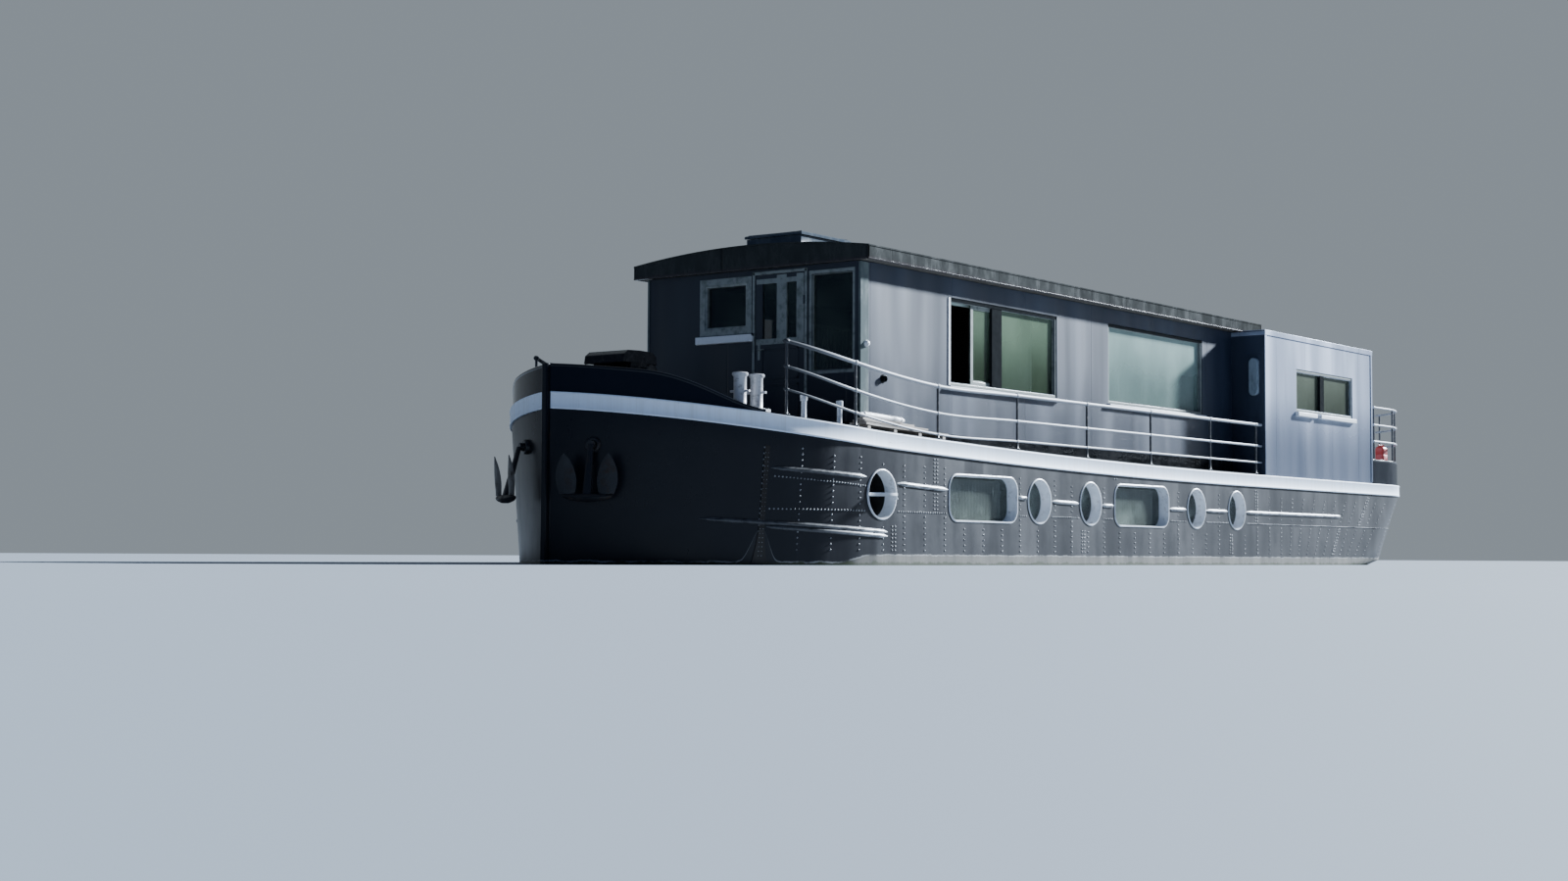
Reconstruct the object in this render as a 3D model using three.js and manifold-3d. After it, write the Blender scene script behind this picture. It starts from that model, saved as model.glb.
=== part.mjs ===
// A houseboat converted from a riveted steel river barge, in millimetres.
// X runs forward along the centreline, Y to port and Z up from the flat bottom.
// "aft" is a distance behind the stem, and a height "h" is taken above the waterline.
import * as THREE from "three";
import { mergeVertices } from "three/addons/utils/BufferGeometryUtils.js";
import Module from "manifold-3d";

const wasm = await Module();
wasm.setup();

// The hull.
const LENGTH = 23600;
const BEAM = 5000;
const DRAUGHT = 900;
const HALF_BEAM = BEAM / 2;
const STEM_HALF = 50; // half the flat that carries the stem bar
const STERN_HALF = 60;
const BELT_HEIGHT = 212; // the white belt below the deck edge
const BELT_THICK = 30;
const DECK_THICK = 20;
const BULWARK_OUT = -10; // the bulwarks stand this far in from the deck edge
const BULWARK_IN = -50;
const GAP = 0.3; // between two pieces that touch
const JOINT = 1; // between two plates that meet edge to edge
const REACH = 100; // how far a cutting shape runs past what it cuts
const CLEAR = 6; // round a piece that moves
const SHEER_LOW = 1565; // the deck edge is lowest here
const SHEER_LOW_AFT = 15000;
const SHEER_RISE = 353; // its slow rise towards the bow
const SHEER_POWER = 2.19;
const SPRING_RISE = 232; // and its quick rise in the last stretch to the stem
const SPRING_LENGTH = 4000;

// The superstructure.
const WALL = 80;
const CABIN_FRONT = 4120;
const CABIN_HALF = 1870;
const CABIN_TOP = 4110; // underside of the main roof, and top of the aft cabin
const COAMING_HEIGHT = 188; // above the deck edge, forward
const COAMING_LOW = 1825; // its top is level from where it has come down to this
const COAMING_STEP = 20; // the coaming stands out past the wall
const FLOOR_H = 1800;
const ROOF_HALF = 2070;
const ROOF_FRONT = 4020;
const ROOF_REAR = 16400; // the main roof laps over the aft cabin's
const FASCIA = 190;
const ROOF_CREST = 150;
const BOX_FRONT = 15600; // the aft cabin, as wide as the hull
const BOX_REAR = 20450;
const BOX_ROOF = 60;

const ROUND = 16; // sides of a round piece
const SMALL_ROUND = 6; // sides of a pipe or a hinge
const QUARTER = 4; // segments in a quarter of a rounded window

// Shapes.

// A closed geometry as a solid that can be joined and cut.
function solid(geometry) {
  const bare = geometry.index ? geometry.toNonIndexed() : geometry.clone();
  bare.deleteAttribute("normal");
  bare.deleteAttribute("uv");
  const merged = mergeVertices(bare, 1e-3);
  return new wasm.Manifold(
    new wasm.Mesh({
      numProp: 3,
      vertProperties: new Float32Array(merged.attributes.position.array),
      triVerts: new Uint32Array(merged.index.array),
    }),
  );
}

function geometryOf(body) {
  const mesh = body.getMesh();
  const geometry = new THREE.BufferGeometry();
  const positions = new Float32Array(mesh.vertProperties);
  geometry.setAttribute("position", new THREE.BufferAttribute(positions, 3));
  geometry.setIndex([...mesh.triVerts]);
  geometry.computeVertexNormals();
  return geometry;
}

function join(...geometries) {
  return geometryOf(geometries.map(solid).reduce((all, next) => all.add(next)));
}

function cut(geometry, ...tools) {
  return geometryOf(tools.map(solid).reduce((left, tool) => left.subtract(tool), solid(geometry)));
}

// The same geometry on the other side of the centreline.
function mirrored(geometry) {
  const copy = (geometry.index ? geometry.toNonIndexed() : geometry.clone()).scale(1, -1, 1);
  const p = copy.attributes.position;
  for (let i = 0; i < p.count; i += 3) {
    const [x, y, z] = [p.getX(i), p.getY(i), p.getZ(i)];
    p.setXYZ(i, p.getX(i + 1), p.getY(i + 1), p.getZ(i + 1));
    p.setXYZ(i + 1, x, y, z);
  }
  copy.computeVertexNormals();
  return copy;
}

function bothSides(geometry) {
  return join(geometry, mirrored(geometry));
}

// A solid skin over rings of the same even number of points; each end is closed by a strip.
function loft(rings) {
  const count = rings[0].length;
  const positions = rings.flat(2);
  const index = [];
  const quad = (a, b, c, d) => index.push(a, b, c, a, c, d);
  for (let r = 0; r + 1 < rings.length; r++)
    for (let k = 0; k < count; k++) {
      const next = (k + 1) % count;
      const base = r * count;
      quad(base + k, base + next, base + count + next, base + count + k);
    }
  const last = (rings.length - 1) * count;
  for (let k = 0; k + 1 < count / 2; k++) {
    const across = count - 1 - k;
    quad(across, across - 1, k + 1, k);
    quad(last + k, last + k + 1, last + across - 1, last + across);
  }
  const geometry = new THREE.BufferGeometry();
  geometry.setAttribute("position", new THREE.BufferAttribute(new Float32Array(positions), 3));
  geometry.setIndex(index);
  if (volume(geometry) < 0) {
    for (let i = 0; i < index.length; i += 3) [index[i], index[i + 1]] = [index[i + 1], index[i]];
    geometry.setIndex(index);
  }
  geometry.computeVertexNormals();
  return geometry;
}

function volume(geometry) {
  const p = geometry.attributes.position;
  const corner = (i) => new THREE.Vector3().fromBufferAttribute(p, geometry.index.getX(i));
  let sum = 0;
  for (let i = 0; i < geometry.index.count; i += 3)
    sum += corner(i).dot(corner(i + 1).cross(corner(i + 2))) / 6;
  return sum;
}

// A box between two distances behind the stem, two places across and two heights.
function box(aft0, aft1, y0, y1, h0, h1) {
  const geometry = new THREE.BoxGeometry(aft1 - aft0, y1 - y0, h1 - h0);
  return geometry.translate(X((aft0 + aft1) / 2), (y0 + y1) / 2, Z((h0 + h1) / 2));
}

// A round bar between two points.
function rod(from, to, radius, sides = SMALL_ROUND) {
  const axis = new THREE.Vector3().subVectors(to, from);
  const geometry = new THREE.CylinderGeometry(radius, radius, axis.length(), sides);
  const turn = new THREE.Quaternion().setFromUnitVectors(new THREE.Vector3(0, 1, 0), axis.normalize());
  geometry.applyQuaternion(turn);
  return geometry.translate((from.x + to.x) / 2, (from.y + to.y) / 2, (from.z + to.z) / 2);
}

// A rounded rectangle, or a circle where the radius is half its width.
function rounded(width, height, radius) {
  const shape = new THREE.Shape();
  const [w, h] = [width / 2 - radius, height / 2 - radius];
  const corners = [[w, h, 0], [-w, h, 1], [-w, -h, 2], [w, -h, 3]];
  for (const [x, y, turn] of corners)
    shape.absarc(x, y, radius, (turn * Math.PI) / 2, ((turn + 1) * Math.PI) / 2, false);
  return shape;
}

// A flat shape as a plate on the port side, facing out, between two places across.
function sidePlate(shape, aft, h, yInner, yOuter) {
  const settings = { depth: yOuter - yInner, bevelEnabled: false, curveSegments: QUARTER };
  const geometry = new THREE.ExtrudeGeometry(shape, settings);
  geometry.rotateX(Math.PI / 2);
  return geometry.translate(X(aft), yOuter, Z(h));
}

// The lines of the hull.

function X(aft) {
  return LENGTH / 2 - aft;
}

function Z(h) {
  return DRAUGHT + h;
}

function point(aft, y, h) {
  return new THREE.Vector3(X(aft), y, Z(h));
}

function sheerCurve(aft) {
  const slow = Math.max(0, (SHEER_LOW_AFT - aft) / SHEER_LOW_AFT);
  const quick = Math.max(0, (SPRING_LENGTH - aft) / SPRING_LENGTH);
  return SHEER_LOW + SHEER_RISE * slow ** SHEER_POWER + SPRING_RISE * quick ** 2;
}

const BOW_STATIONS = [0, 120, 300, 560, 900, 1300, 1750, 2250, 2800, 3400, 3850];
const MIDDLE_STATIONS = [5500, 7500, 9500, 11500, 13500, 15000, 16200];
const STERN_ANGLES = [0, 15, 30, 45, 58, 70, 80, 90]; // round the stern, in degrees

// Each level: height above the bottom, how far its side lies in, where it starts behind the stem,
// the length of its bow, where its stern ends, the stern's length, and how fine the stern is.
const LOWER_LEVELS = [
  { z: 0, inset: 350, start: 350, bow: 4300, end: 20600, run: 4300, fine: 1.7 },
  { z: 102, inset: 102, start: 102, bow: 4200, end: 20750, run: 4400, fine: 1.7 },
  { z: 350, inset: 0, start: 0, bow: 4050, end: 20900, run: 4500, fine: 1.6 },
  { z: 800, inset: 0, start: 0, bow: 3850, end: 20950, run: 4500, fine: 1.5 },
];
const DECK_LEVEL = { inset: 0, start: 0, bow: 3400, end: LENGTH, run: 2200, fine: 1 };
const UPPER_LEVELS = [
  { z: 800, inset: 0, start: 0, bow: 3850, end: 22500, run: 4200, fine: 1 },
  { z: 1000, inset: 0, start: 0, bow: 3800, end: 23150, run: 3200, fine: 1 },
  { ...DECK_LEVEL, below: BELT_HEIGHT },
  { ...DECK_LEVEL, below: 0 },
];

// Half the breadth of a level in its bow: an arc that meets the straight side.
function bowBreadth(level, aft) {
  const half = HALF_BEAM - level.inset;
  const back = Math.min(level.bow, aft - level.start);
  const length = level.bow;
  const radius = (length ** 2 + half ** 2) / (2 * half);
  const breadth = half - radius + Math.sqrt(Math.max(0, radius ** 2 - (length - back) ** 2));
  return Math.max(STEM_HALF, breadth);
}

// The port edge of a level from stem to stern, one place for each station.
function levelEdge(level) {
  const places = [...BOW_STATIONS, ...MIDDLE_STATIONS].map((aft) => {
    const at = Math.max(aft, level.start);
    return { aft: at, y: bowBreadth(level, at) };
  });
  const half = HALF_BEAM - level.inset;
  for (const degrees of STERN_ANGLES) {
    const angle = (degrees * Math.PI) / 180;
    const aft = level.end - level.run * (1 - Math.sin(angle));
    places.push({ aft, y: Math.max(STERN_HALF, half * Math.cos(angle) ** level.fine) });
  }
  return places;
}

function hullBody(levels) {
  const edges = levels.map(levelEdge);
  const rings = edges[0].map((_, station) => {
    const side = levels.map((level, k) => {
      const { aft, y } = edges[k][station];
      const z = level.z ?? Z(sheerCurve(aft)) - level.below;
      return [X(aft), y, z];
    });
    return [...side, ...side.map(([x, y, z]) => [x, -y, z]).reverse()];
  });
  return loft(rings);
}

// The deck edge, with its outward direction at each place.
const DECK_EDGE = levelEdge(DECK_LEVEL).map((place, i, all) => {
  const before = all[Math.max(0, i - 1)];
  const after = all[Math.min(all.length - 1, i + 1)];
  const run = new THREE.Vector2(after.aft - before.aft, after.y - before.y).normalize();
  return { ...place, h: sheerCurve(place.aft), outAft: -run.y, outY: run.x };
});

// The place on the deck edge at a distance behind the stem.
function deckPlace(aft) {
  const after = DECK_EDGE.findIndex((place) => place.aft >= aft);
  if (after < 1) return DECK_EDGE[Math.max(after, 0)];
  const [a, b] = [DECK_EDGE[after - 1], DECK_EDGE[after]];
  const t = (aft - a.aft) / (b.aft - a.aft);
  const mix = (key) => a[key] + (b[key] - a[key]) * t;
  return { aft, y: mix("y"), h: mix("h"), outAft: mix("outAft"), outY: mix("outY") };
}

function deckLine(aft) {
  return deckPlace(aft).h;
}

// The places between two distances behind the stem, with every station of the hull between them.
function placesBetween(aft0, aft1) {
  const [from, to] = [aft0 + JOINT, aft1 - JOINT];
  const between = DECK_EDGE.filter((place) => place.aft > from && place.aft < to);
  return [deckPlace(aft0), ...between, deckPlace(aft1)];
}

// A point level with the deck edge and a distance outside it, on the port side.
function beside(place, out, h) {
  return point(place.aft + place.outAft * out, place.y + place.outY * out, h);
}

const list = (v) => [v.x, v.y, v.z];

// A band that follows the deck edge; its two heights may change along it.
function band(places, inner, outer, low, high) {
  return loft(
    places.map((place) => [
      list(beside(place, inner, low(place))),
      list(beside(place, outer, low(place))),
      list(beside(place, outer, high(place))),
      list(beside(place, inner, high(place))),
    ]),
  );
}

const mirrorPlace = (place) => ({ ...place, y: -place.y, outY: -place.outY });

// A bar along the boat on the deck's curve, between two places across.
function deckBar(aft0, aft1, y0, y1, low, high) {
  return loft(
    placesBetween(aft0, aft1).map(({ aft }) => [
      [X(aft), y0, Z(low(aft))],
      [X(aft), y1, Z(low(aft))],
      [X(aft), y1, Z(high(aft))],
      [X(aft), y0, Z(high(aft))],
    ]),
  );
}

// A deck plate from side to side.
function deckPlate(aft0, aft1, inset) {
  return loft(
    placesBetween(aft0, aft1).map((place) => {
      const y = place.y - inset / place.outY;
      const low = Z(place.h) + GAP;
      const high = low + DECK_THICK;
      return [[y, low], [-y, low], [-y, high], [y, high]].map(([across, z]) => [X(place.aft), across, z]);
    }),
  );
}

const DECK_INSET = 50.8;
const deckTop = (aft) => deckLine(aft) + GAP + DECK_THICK;

// The hull: two lofts, with window pockets, two hatch pits and the engine room cut in.

const PORTHOLE = 680;
const WINDOW_RADIUS = 220;
const WINDOW_H = 930;
const REVEAL = 170; // depth of a window's pocket
const SASH_POCKET = 460; // the pocket behind the pivoted sash
const HULL_WINDOWS = [
  { aft: 3730, width: PORTHOLE, open: true },
  { aft: 6260, width: 1840 },
  { aft: 7800, width: PORTHOLE },
  { aft: 9330, width: PORTHOLE },
  { aft: 10990, width: 1840 },
  { aft: 12900, width: PORTHOLE },
  { aft: 14430, width: PORTHOLE },
];
const windowRadius = ({ width }) => (width > PORTHOLE ? WINDOW_RADIUS : PORTHOLE / 2);

const RIM = 25;
const RIM_PROUD = 20;

function windowPlate(opening, inset, yInner, yOuter) {
  const radius = windowRadius(opening) - inset;
  const outline = rounded(opening.width - 2 * inset, PORTHOLE - 2 * inset, radius);
  return sidePlate(outline, opening.aft, WINDOW_H, yInner, yOuter);
}

const rims = HULL_WINDOWS.map((opening) =>
  windowPlate(opening, 0, HALF_BEAM - REVEAL, HALF_BEAM + RIM_PROUD),
);
const pockets = HULL_WINDOWS.map((opening) => {
  const depth = opening.open ? SASH_POCKET : REVEAL;
  return windowPlate(opening, RIM, HALF_BEAM - depth, HALF_BEAM + REACH);
});

const HATCH_WALL = 30;
const HATCHES = {
  fore: { front: 2250, rear: 3050, half: 400, rise: 250, depth: 700 },
  aft: { front: 21550, rear: 22350, half: 400, rise: 150, depth: 600 },
};
const hatchPits = Object.values(HATCHES).map((hatch) =>
  box(
    hatch.front + HATCH_WALL,
    hatch.rear - HATCH_WALL,
    -hatch.half + HATCH_WALL,
    hatch.half - HATCH_WALL,
    deckLine(hatch.rear) - hatch.depth,
    deckLine(hatch.front) + REACH,
  ),
);
const ENGINE = { front: 17900, rear: 19500, half: 400, low: -500, high: 400 };
const ENGINE_ROOM_MARGIN = 450;
const engineRoom = box(
  ENGINE.front - ENGINE_ROOM_MARGIN,
  ENGINE.rear + ENGINE_ROOM_MARGIN,
  -ENGINE.half - ENGINE_ROOM_MARGIN,
  ENGINE.half + ENGINE_ROOM_MARGIN,
  ENGINE.low,
  SHEER_LOW + REACH,
);

// The hawse lips on the bow, from which the anchors hang.
const HAWSE = { aft: 230, h: 1480, radius: 95, proud: 40 };
const hawsePlace = deckPlace(HAWSE.aft);
const hawseOut = new THREE.Vector3(-hawsePlace.outAft, hawsePlace.outY, 0).normalize();
const hawseSeat = beside(hawsePlace, 0, HAWSE.h);
const hawseFace = hawseSeat.clone().addScaledVector(hawseOut, HAWSE.proud);
const HAWSE_ROOT = 260; // how far the lip runs back into the bow
const hawseLip = rod(
  hawseSeat.clone().addScaledVector(hawseOut, -HAWSE_ROOT),
  hawseFace,
  HAWSE.radius,
  ROUND,
);

const RUDDER = {
  stock: 21950,
  stockRadius: 50,
  low: -860,
  heel: 10, // how far the stock reaches below the plate
  high: -150,
  lead: 180,
  chord: 900,
  thick: 60,
};
const BEARING = { radius: 90, root: 60, drop: 30 };
const COUNTER_H = 800 - DRAUGHT; // the flat under the stern, above the propeller
const rudderBearing = rod(
  point(RUDDER.stock, 0, COUNTER_H + BEARING.root),
  point(RUDDER.stock, 0, COUNTER_H - BEARING.drop),
  BEARING.radius,
  ROUND,
);
const PROPELLER = { aft: 21330, h: -480, radius: 330, hub: 70, hubLength: 190, blades: 4 };
const STERN_TUBE = { start: 20700, radius: 65 };
const sternTube = rod(
  point(STERN_TUBE.start, 0, PROPELLER.h),
  point(PROPELLER.aft - PROPELLER.hubLength / 2 - GAP, 0, PROPELLER.h),
  STERN_TUBE.radius,
  ROUND,
);

// The port side of the hull at a place and a height, above the turn of the bilge.
function hullSide(aft, h) {
  const low = bowBreadth(UPPER_LEVELS[1], aft);
  const high = bowBreadth(DECK_LEVEL, aft);
  const top = sheerCurve(aft) - BELT_HEIGHT;
  const bottom = UPPER_LEVELS[1].z - DRAUGHT;
  return low + ((high - low) * (h - bottom)) / (top - bottom);
}
const STRAKE_R = 32;
const STRAKE_ROOT = 6; // how deep a strake's back lies in the side
const STRAKE_ANGLES = [-90, 0, 90]; // round the half round, in degrees
// Each run of strake: its two ends behind the stem and their heights.
const STRAKES = [
  { front: 1840, rear: 3380, frontH: 1225, rearH: 1150 },
  { front: 4085, rear: 5325, frontH: 1085, rearH: 1035 },
  { front: 7195, rear: 7445, frontH: 975, rearH: 965 },
  { front: 8155, rear: 8975, frontH: 940, rearH: 925 },
  { front: 9685, rear: 10055, frontH: 915, rearH: 912 },
  { front: 11925, rear: 12545, frontH: 905, rearH: 905 },
  { front: 13255, rear: 14075, frontH: 905, rearH: 905 },
  { front: 14785, rear: 19200, frontH: 905, rearH: 905 },
  { front: 1100, rear: 3860, frontH: 545, rearH: 410 },
];
const strakes = STRAKES.map(({ front, rear, frontH, rearH }) => {
  const stations = [...BOW_STATIONS, ...MIDDLE_STATIONS].filter((a) => a > front && a < rear);
  return loft(
    [front, ...stations, rear].map((aft) => {
      const h = frontH + ((rearH - frontH) * (aft - front)) / (rear - front);
      const root = hullSide(aft, h) - STRAKE_ROOT;
      const ring = STRAKE_ANGLES.map((degrees) => {
        const angle = (degrees * Math.PI) / 180;
        const out = (STRAKE_R + STRAKE_ROOT) * Math.cos(angle);
        return [X(aft), root + out, Z(h + STRAKE_R * Math.sin(angle))];
      });
      return [...ring, [X(aft), root, Z(h)]];
    }),
  );
});

const hull = cut(
  join(
    hullBody(UPPER_LEVELS),
    hullBody(LOWER_LEVELS),
    bothSides(hawseLip),
    rudderBearing,
    sternTube,
    ...[...rims, ...strakes].flatMap((piece) => [piece, mirrored(piece)]),
  ),
  ...pockets,
  ...pockets.map(mirrored),
  ...hatchPits,
  engineRoom,
);

const STEM_BAR = { thick: 60, half: 44, low: -500, high: 2500 };
const stemBar = box(
  -GAP - STEM_BAR.thick,
  -GAP,
  -STEM_BAR.half,
  STEM_BAR.half,
  STEM_BAR.low,
  STEM_BAR.high,
);

// The belt round the deck edge, and the bulwarks at the bow and stern.

const bottomOfBelt = (place) => place.h - BELT_HEIGHT + JOINT;
const topOfBelt = (place) => place.h;
const wholeEdge = [...DECK_EDGE, ...DECK_EDGE.map(mirrorPlace).reverse()];
const belt = band(wholeEdge, GAP, GAP + BELT_THICK, bottomOfBelt, topOfBelt);

const BOW_BULWARK = { height: 350, level: 560, end: 1750, low: 40 };
function bowBulwarkTop(place) {
  const fall = (place.aft - BOW_BULWARK.level) / (BOW_BULWARK.end - BOW_BULWARK.level);
  const drop = (BOW_BULWARK.height - BOW_BULWARK.low) * Math.min(1, Math.max(0, fall));
  return place.h + BOW_BULWARK.height - drop;
}
const bowPlaces = placesBetween(0, BOW_BULWARK.end);
const bowPath = [...[...bowPlaces].reverse(), ...bowPlaces.map(mirrorPlace)];
const bowBulwark = band(bowPath, BULWARK_IN, BULWARK_OUT, (place) => place.h + GAP, bowBulwarkTop);

const STERN_BULWARK = { start: 20500, h: 2040 };
const sternPlaces = placesBetween(STERN_BULWARK.start, LENGTH);
const sternPath = [...sternPlaces, ...sternPlaces.map(mirrorPlace).reverse()];
const sternBulwark = band(
  sternPath,
  BULWARK_IN,
  BULWARK_OUT,
  (place) => place.h + GAP,
  () => STERN_BULWARK.h,
);

// The decks.

const FORE_DECK_START = 220;
const AFT_DECK_END = 23450;
const hatchHole = (hatch) =>
  box(
    hatch.front,
    hatch.rear,
    -hatch.half,
    hatch.half,
    deckLine(hatch.rear) - REACH,
    deckLine(hatch.front) + REACH,
  );
// Low posts stand on the fore deck, beside the way forward.
const DECK_POSTS = [{ aft: 2560, y: 2080 }, { aft: 3180, y: 2200 }];
const POST = { height: 320, radius: 32, collar: 45, collarHeight: 60, crown: 5, sides: 12 };
const deckPosts = DECK_POSTS.flatMap(({ aft, y }) => {
  const top = deckTop(aft) + POST.height;
  return [
    rod(point(aft, y, deckTop(aft) - DECK_THICK / 2), point(aft, y, top), POST.radius, POST.sides),
    rod(point(aft, y, top - POST.collarHeight), point(aft, y, top + POST.crown), POST.collar, POST.sides),
  ];
});
// What lies outside a bulwark's inner face, so that a deck ends against it.
const outsideBulwark = (path) =>
  band(path, BULWARK_IN - 2 * GAP, 2 * REACH, ({ h }) => h - REACH, ({ h }) => h + REACH);
const foreDeck = join(
  cut(
    deckPlate(FORE_DECK_START, CABIN_FRONT - COAMING_STEP - JOINT, DECK_INSET),
    hatchHole(HATCHES.fore),
    outsideBulwark(bowPath),
  ),
  ...deckPosts.flatMap((post) => [post, mirrored(post)]),
);
const aftDeck = cut(
  deckPlate(BOX_REAR + JOINT, AFT_DECK_END, DECK_INSET),
  hatchHole(HATCHES.aft),
  outsideBulwark(sternPath),
);
const SIDE_DECK_START = CABIN_FRONT - COAMING_STEP;
const sideDeck = deckBar(
  SIDE_DECK_START,
  BOX_FRONT - JOINT,
  CABIN_HALF + COAMING_STEP + JOINT,
  HALF_BEAM - DECK_INSET,
  (aft) => deckLine(aft) + GAP,
  deckTop,
);

// The coaming, the floors and the walls of the main cabin.

const coamingTop = (aft) => Math.max(deckLine(aft) + COAMING_HEIGHT, COAMING_LOW);
const SIDE_INNER = CABIN_HALF - WALL;
const COAMING_LAP = 30; // how far the side coamings run into the front one
const coamingSide = deckBar(
  CABIN_FRONT + WALL - COAMING_LAP,
  BOX_FRONT - JOINT,
  SIDE_INNER,
  CABIN_HALF + COAMING_STEP,
  (aft) => deckLine(aft) + GAP,
  coamingTop,
);
const coamingFront = deckBar(
  CABIN_FRONT - COAMING_STEP,
  CABIN_FRONT + WALL,
  -CABIN_HALF - COAMING_STEP,
  CABIN_HALF + COAMING_STEP,
  (aft) => deckLine(aft) + GAP,
  () => coamingTop(CABIN_FRONT),
);
const floorFrom = (aft0, aft1, half) =>
  deckBar(aft0, aft1, -half, half, (aft) => deckLine(aft) + GAP, () => FLOOR_H);
const saloonFloor = floorFrom(CABIN_FRONT + WALL + 2 * JOINT, BOX_FRONT - JOINT, SIDE_INNER - JOINT);

// A partition with a doorway to port stands across the cabin between its side windows.
const PARTITION = { aft: 10200, thick: 40, doorFrom: 500, doorTo: 1300, doorHigh: 3800 };
const partition = cut(
  box(
    PARTITION.aft,
    PARTITION.aft + PARTITION.thick,
    -SIDE_INNER + JOINT,
    SIDE_INNER - JOINT,
    FLOOR_H + GAP,
    CABIN_TOP - GAP,
  ),
  box(
    PARTITION.aft - REACH,
    PARTITION.aft + PARTITION.thick + REACH,
    PARTITION.doorFrom,
    PARTITION.doorTo,
    FLOOR_H,
    PARTITION.doorHigh,
  ),
);

// Windows: two ends behind the stem and two heights; post is a mullion's place.
const SIDE_WINDOWS = [
  { front: 6320, rear: 9420, low: 2560, high: 3830, post: 7780, gapTo: 7000 },
  { front: 11060, rear: 14430, low: 2580, high: 3870 },
];
const BOX_WINDOW = { front: 16930, rear: 19500, low: 2760, high: 3530, post: 18110 };
const FRAME = 55;
const FRAME_SET_BACK = 20; // the frame's face lies this far in from the wall's
const FRAME_CLEARANCE = 0.5;
const PANE = 12;
const PANE_SET_BACK = 62;
const MULLION = { depth: 38, end: 10 };
const SILL = { proud: 60, thick: 35, over: 40 };

// A side wall's window: the hole in front of the frame and the one within it.
function sideHoles(w, yOuter) {
  const face = box(w.front, w.rear, yOuter - FRAME_SET_BACK, yOuter + REACH, w.low, w.high);
  const inner = [w.front + FRAME, w.rear - FRAME, yOuter - 2 * REACH, yOuter + REACH];
  return [face, box(...inner, w.low + FRAME, w.high - FRAME)];
}

// Its mullion and its sill.
function sideTrim(w, yOuter) {
  const y = [yOuter - FRAME_SET_BACK - MULLION.depth, yOuter - FRAME_SET_BACK];
  const sill = box(
    w.front - SILL.over,
    w.rear + SILL.over,
    yOuter - FRAME_SET_BACK,
    yOuter + SILL.proud,
    w.low - SILL.thick,
    w.low,
  );
  if (!w.post) return [sill];
  const across = [w.post - FRAME / 2, w.post + FRAME / 2];
  return [sill, box(...across, ...y, w.low + MULLION.end, w.high - MULLION.end)];
}

function sidePane(w, yOuter) {
  const c = FRAME_CLEARANCE;
  const front = w.gapTo ?? w.front + FRAME + c;
  const y = yOuter - PANE_SET_BACK;
  return box(front, w.rear - FRAME - c, y - PANE, y, w.low + FRAME + c, w.high - FRAME - c);
}

const portWall = join(
  cut(
    deckBar(
      CABIN_FRONT + WALL + JOINT,
      BOX_FRONT - JOINT,
      SIDE_INNER,
      CABIN_HALF,
      (aft) => coamingTop(aft) + GAP,
      () => CABIN_TOP - GAP,
    ),
    ...SIDE_WINDOWS.flatMap((w) => sideHoles(w, CABIN_HALF)),
  ),
  ...SIDE_WINDOWS.flatMap((w) => sideTrim(w, CABIN_HALF)),
);
const [forwardPane, midshipPane] = SIDE_WINDOWS.map((w) => sidePane(w, CABIN_HALF));
const boxPane = sidePane(BOX_WINDOW, HALF_BEAM);

// Openings of the front wall, by their places across: a window, the door and a fixed window.
const FRONT_WINDOW = { starboard: -910, port: 20, low: 3220, high: 4030 };
const DOORWAY = { starboard: 80, port: 940, low: coamingTop(CABIN_FRONT) + GAP, high: 4030 };
const DARK_WINDOW = { starboard: 1000, port: 1780, low: 2600, high: 4030 };
const frontHole = (o) =>
  box(CABIN_FRONT - REACH, CABIN_FRONT + WALL + REACH, o.starboard, o.port, o.low, o.high);
const doorHole = frontHole({ ...DOORWAY, low: DOORWAY.low - REACH });
const frontInner = (o) =>
  frontHole({
    starboard: o.starboard + FRAME,
    port: o.port - FRAME,
    low: o.low + FRAME,
    high: o.high - FRAME,
  });
const frontFace = (o) =>
  box(CABIN_FRONT - REACH, CABIN_FRONT + FRAME_SET_BACK, o.starboard, o.port, o.low, o.high);
const frontSill = box(
  CABIN_FRONT - SILL.proud,
  CABIN_FRONT + FRAME_SET_BACK,
  FRONT_WINDOW.starboard - SILL.over,
  FRONT_WINDOW.port + SILL.over,
  FRONT_WINDOW.low - SILL.thick,
  FRONT_WINDOW.low,
);
const frontWall = join(
  cut(
    box(
      CABIN_FRONT,
      CABIN_FRONT + WALL,
      -CABIN_HALF,
      CABIN_HALF,
      coamingTop(CABIN_FRONT) + GAP,
      CABIN_TOP - GAP,
    ),
    frontFace(FRONT_WINDOW),
    frontInner(FRONT_WINDOW),
    frontFace(DARK_WINDOW),
    frontInner(DARK_WINDOW),
    doorHole,
  ),
  frontSill,
);

function frontPane(o) {
  const inset = FRAME + FRAME_CLEARANCE;
  const sides = [o.starboard + inset, o.port - inset, o.low + inset, o.high - inset];
  return box(CABIN_FRONT + PANE_SET_BACK, CABIN_FRONT + PANE_SET_BACK + PANE, ...sides);
}

// Hinges. A knuckle is a short round bar on the axis with a leaf plate on one side.

const KNUCKLE = { radius: 14, length: 60, plate: 5, root: 2, inset: 4, reach: 45, split: 0.5 };

// The doors swing on upright axes just outside the wall; side is +1 where the wall is to port.
function doorKnuckle(axisAft, axisY, low, side, faceAft, outward) {
  const high = low + KNUCKLE.length;
  const bar = rod(point(axisAft, axisY, low), point(axisAft, axisY, high), KNUCKLE.radius);
  const face = [faceAft - outward * KNUCKLE.plate, faceAft + outward * KNUCKLE.root].sort((a, b) => a - b);
  const across = [axisY + side * KNUCKLE.inset, axisY + side * KNUCKLE.reach].sort((a, b) => a - b);
  return join(bar, box(...face, ...across, low, high));
}

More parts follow.
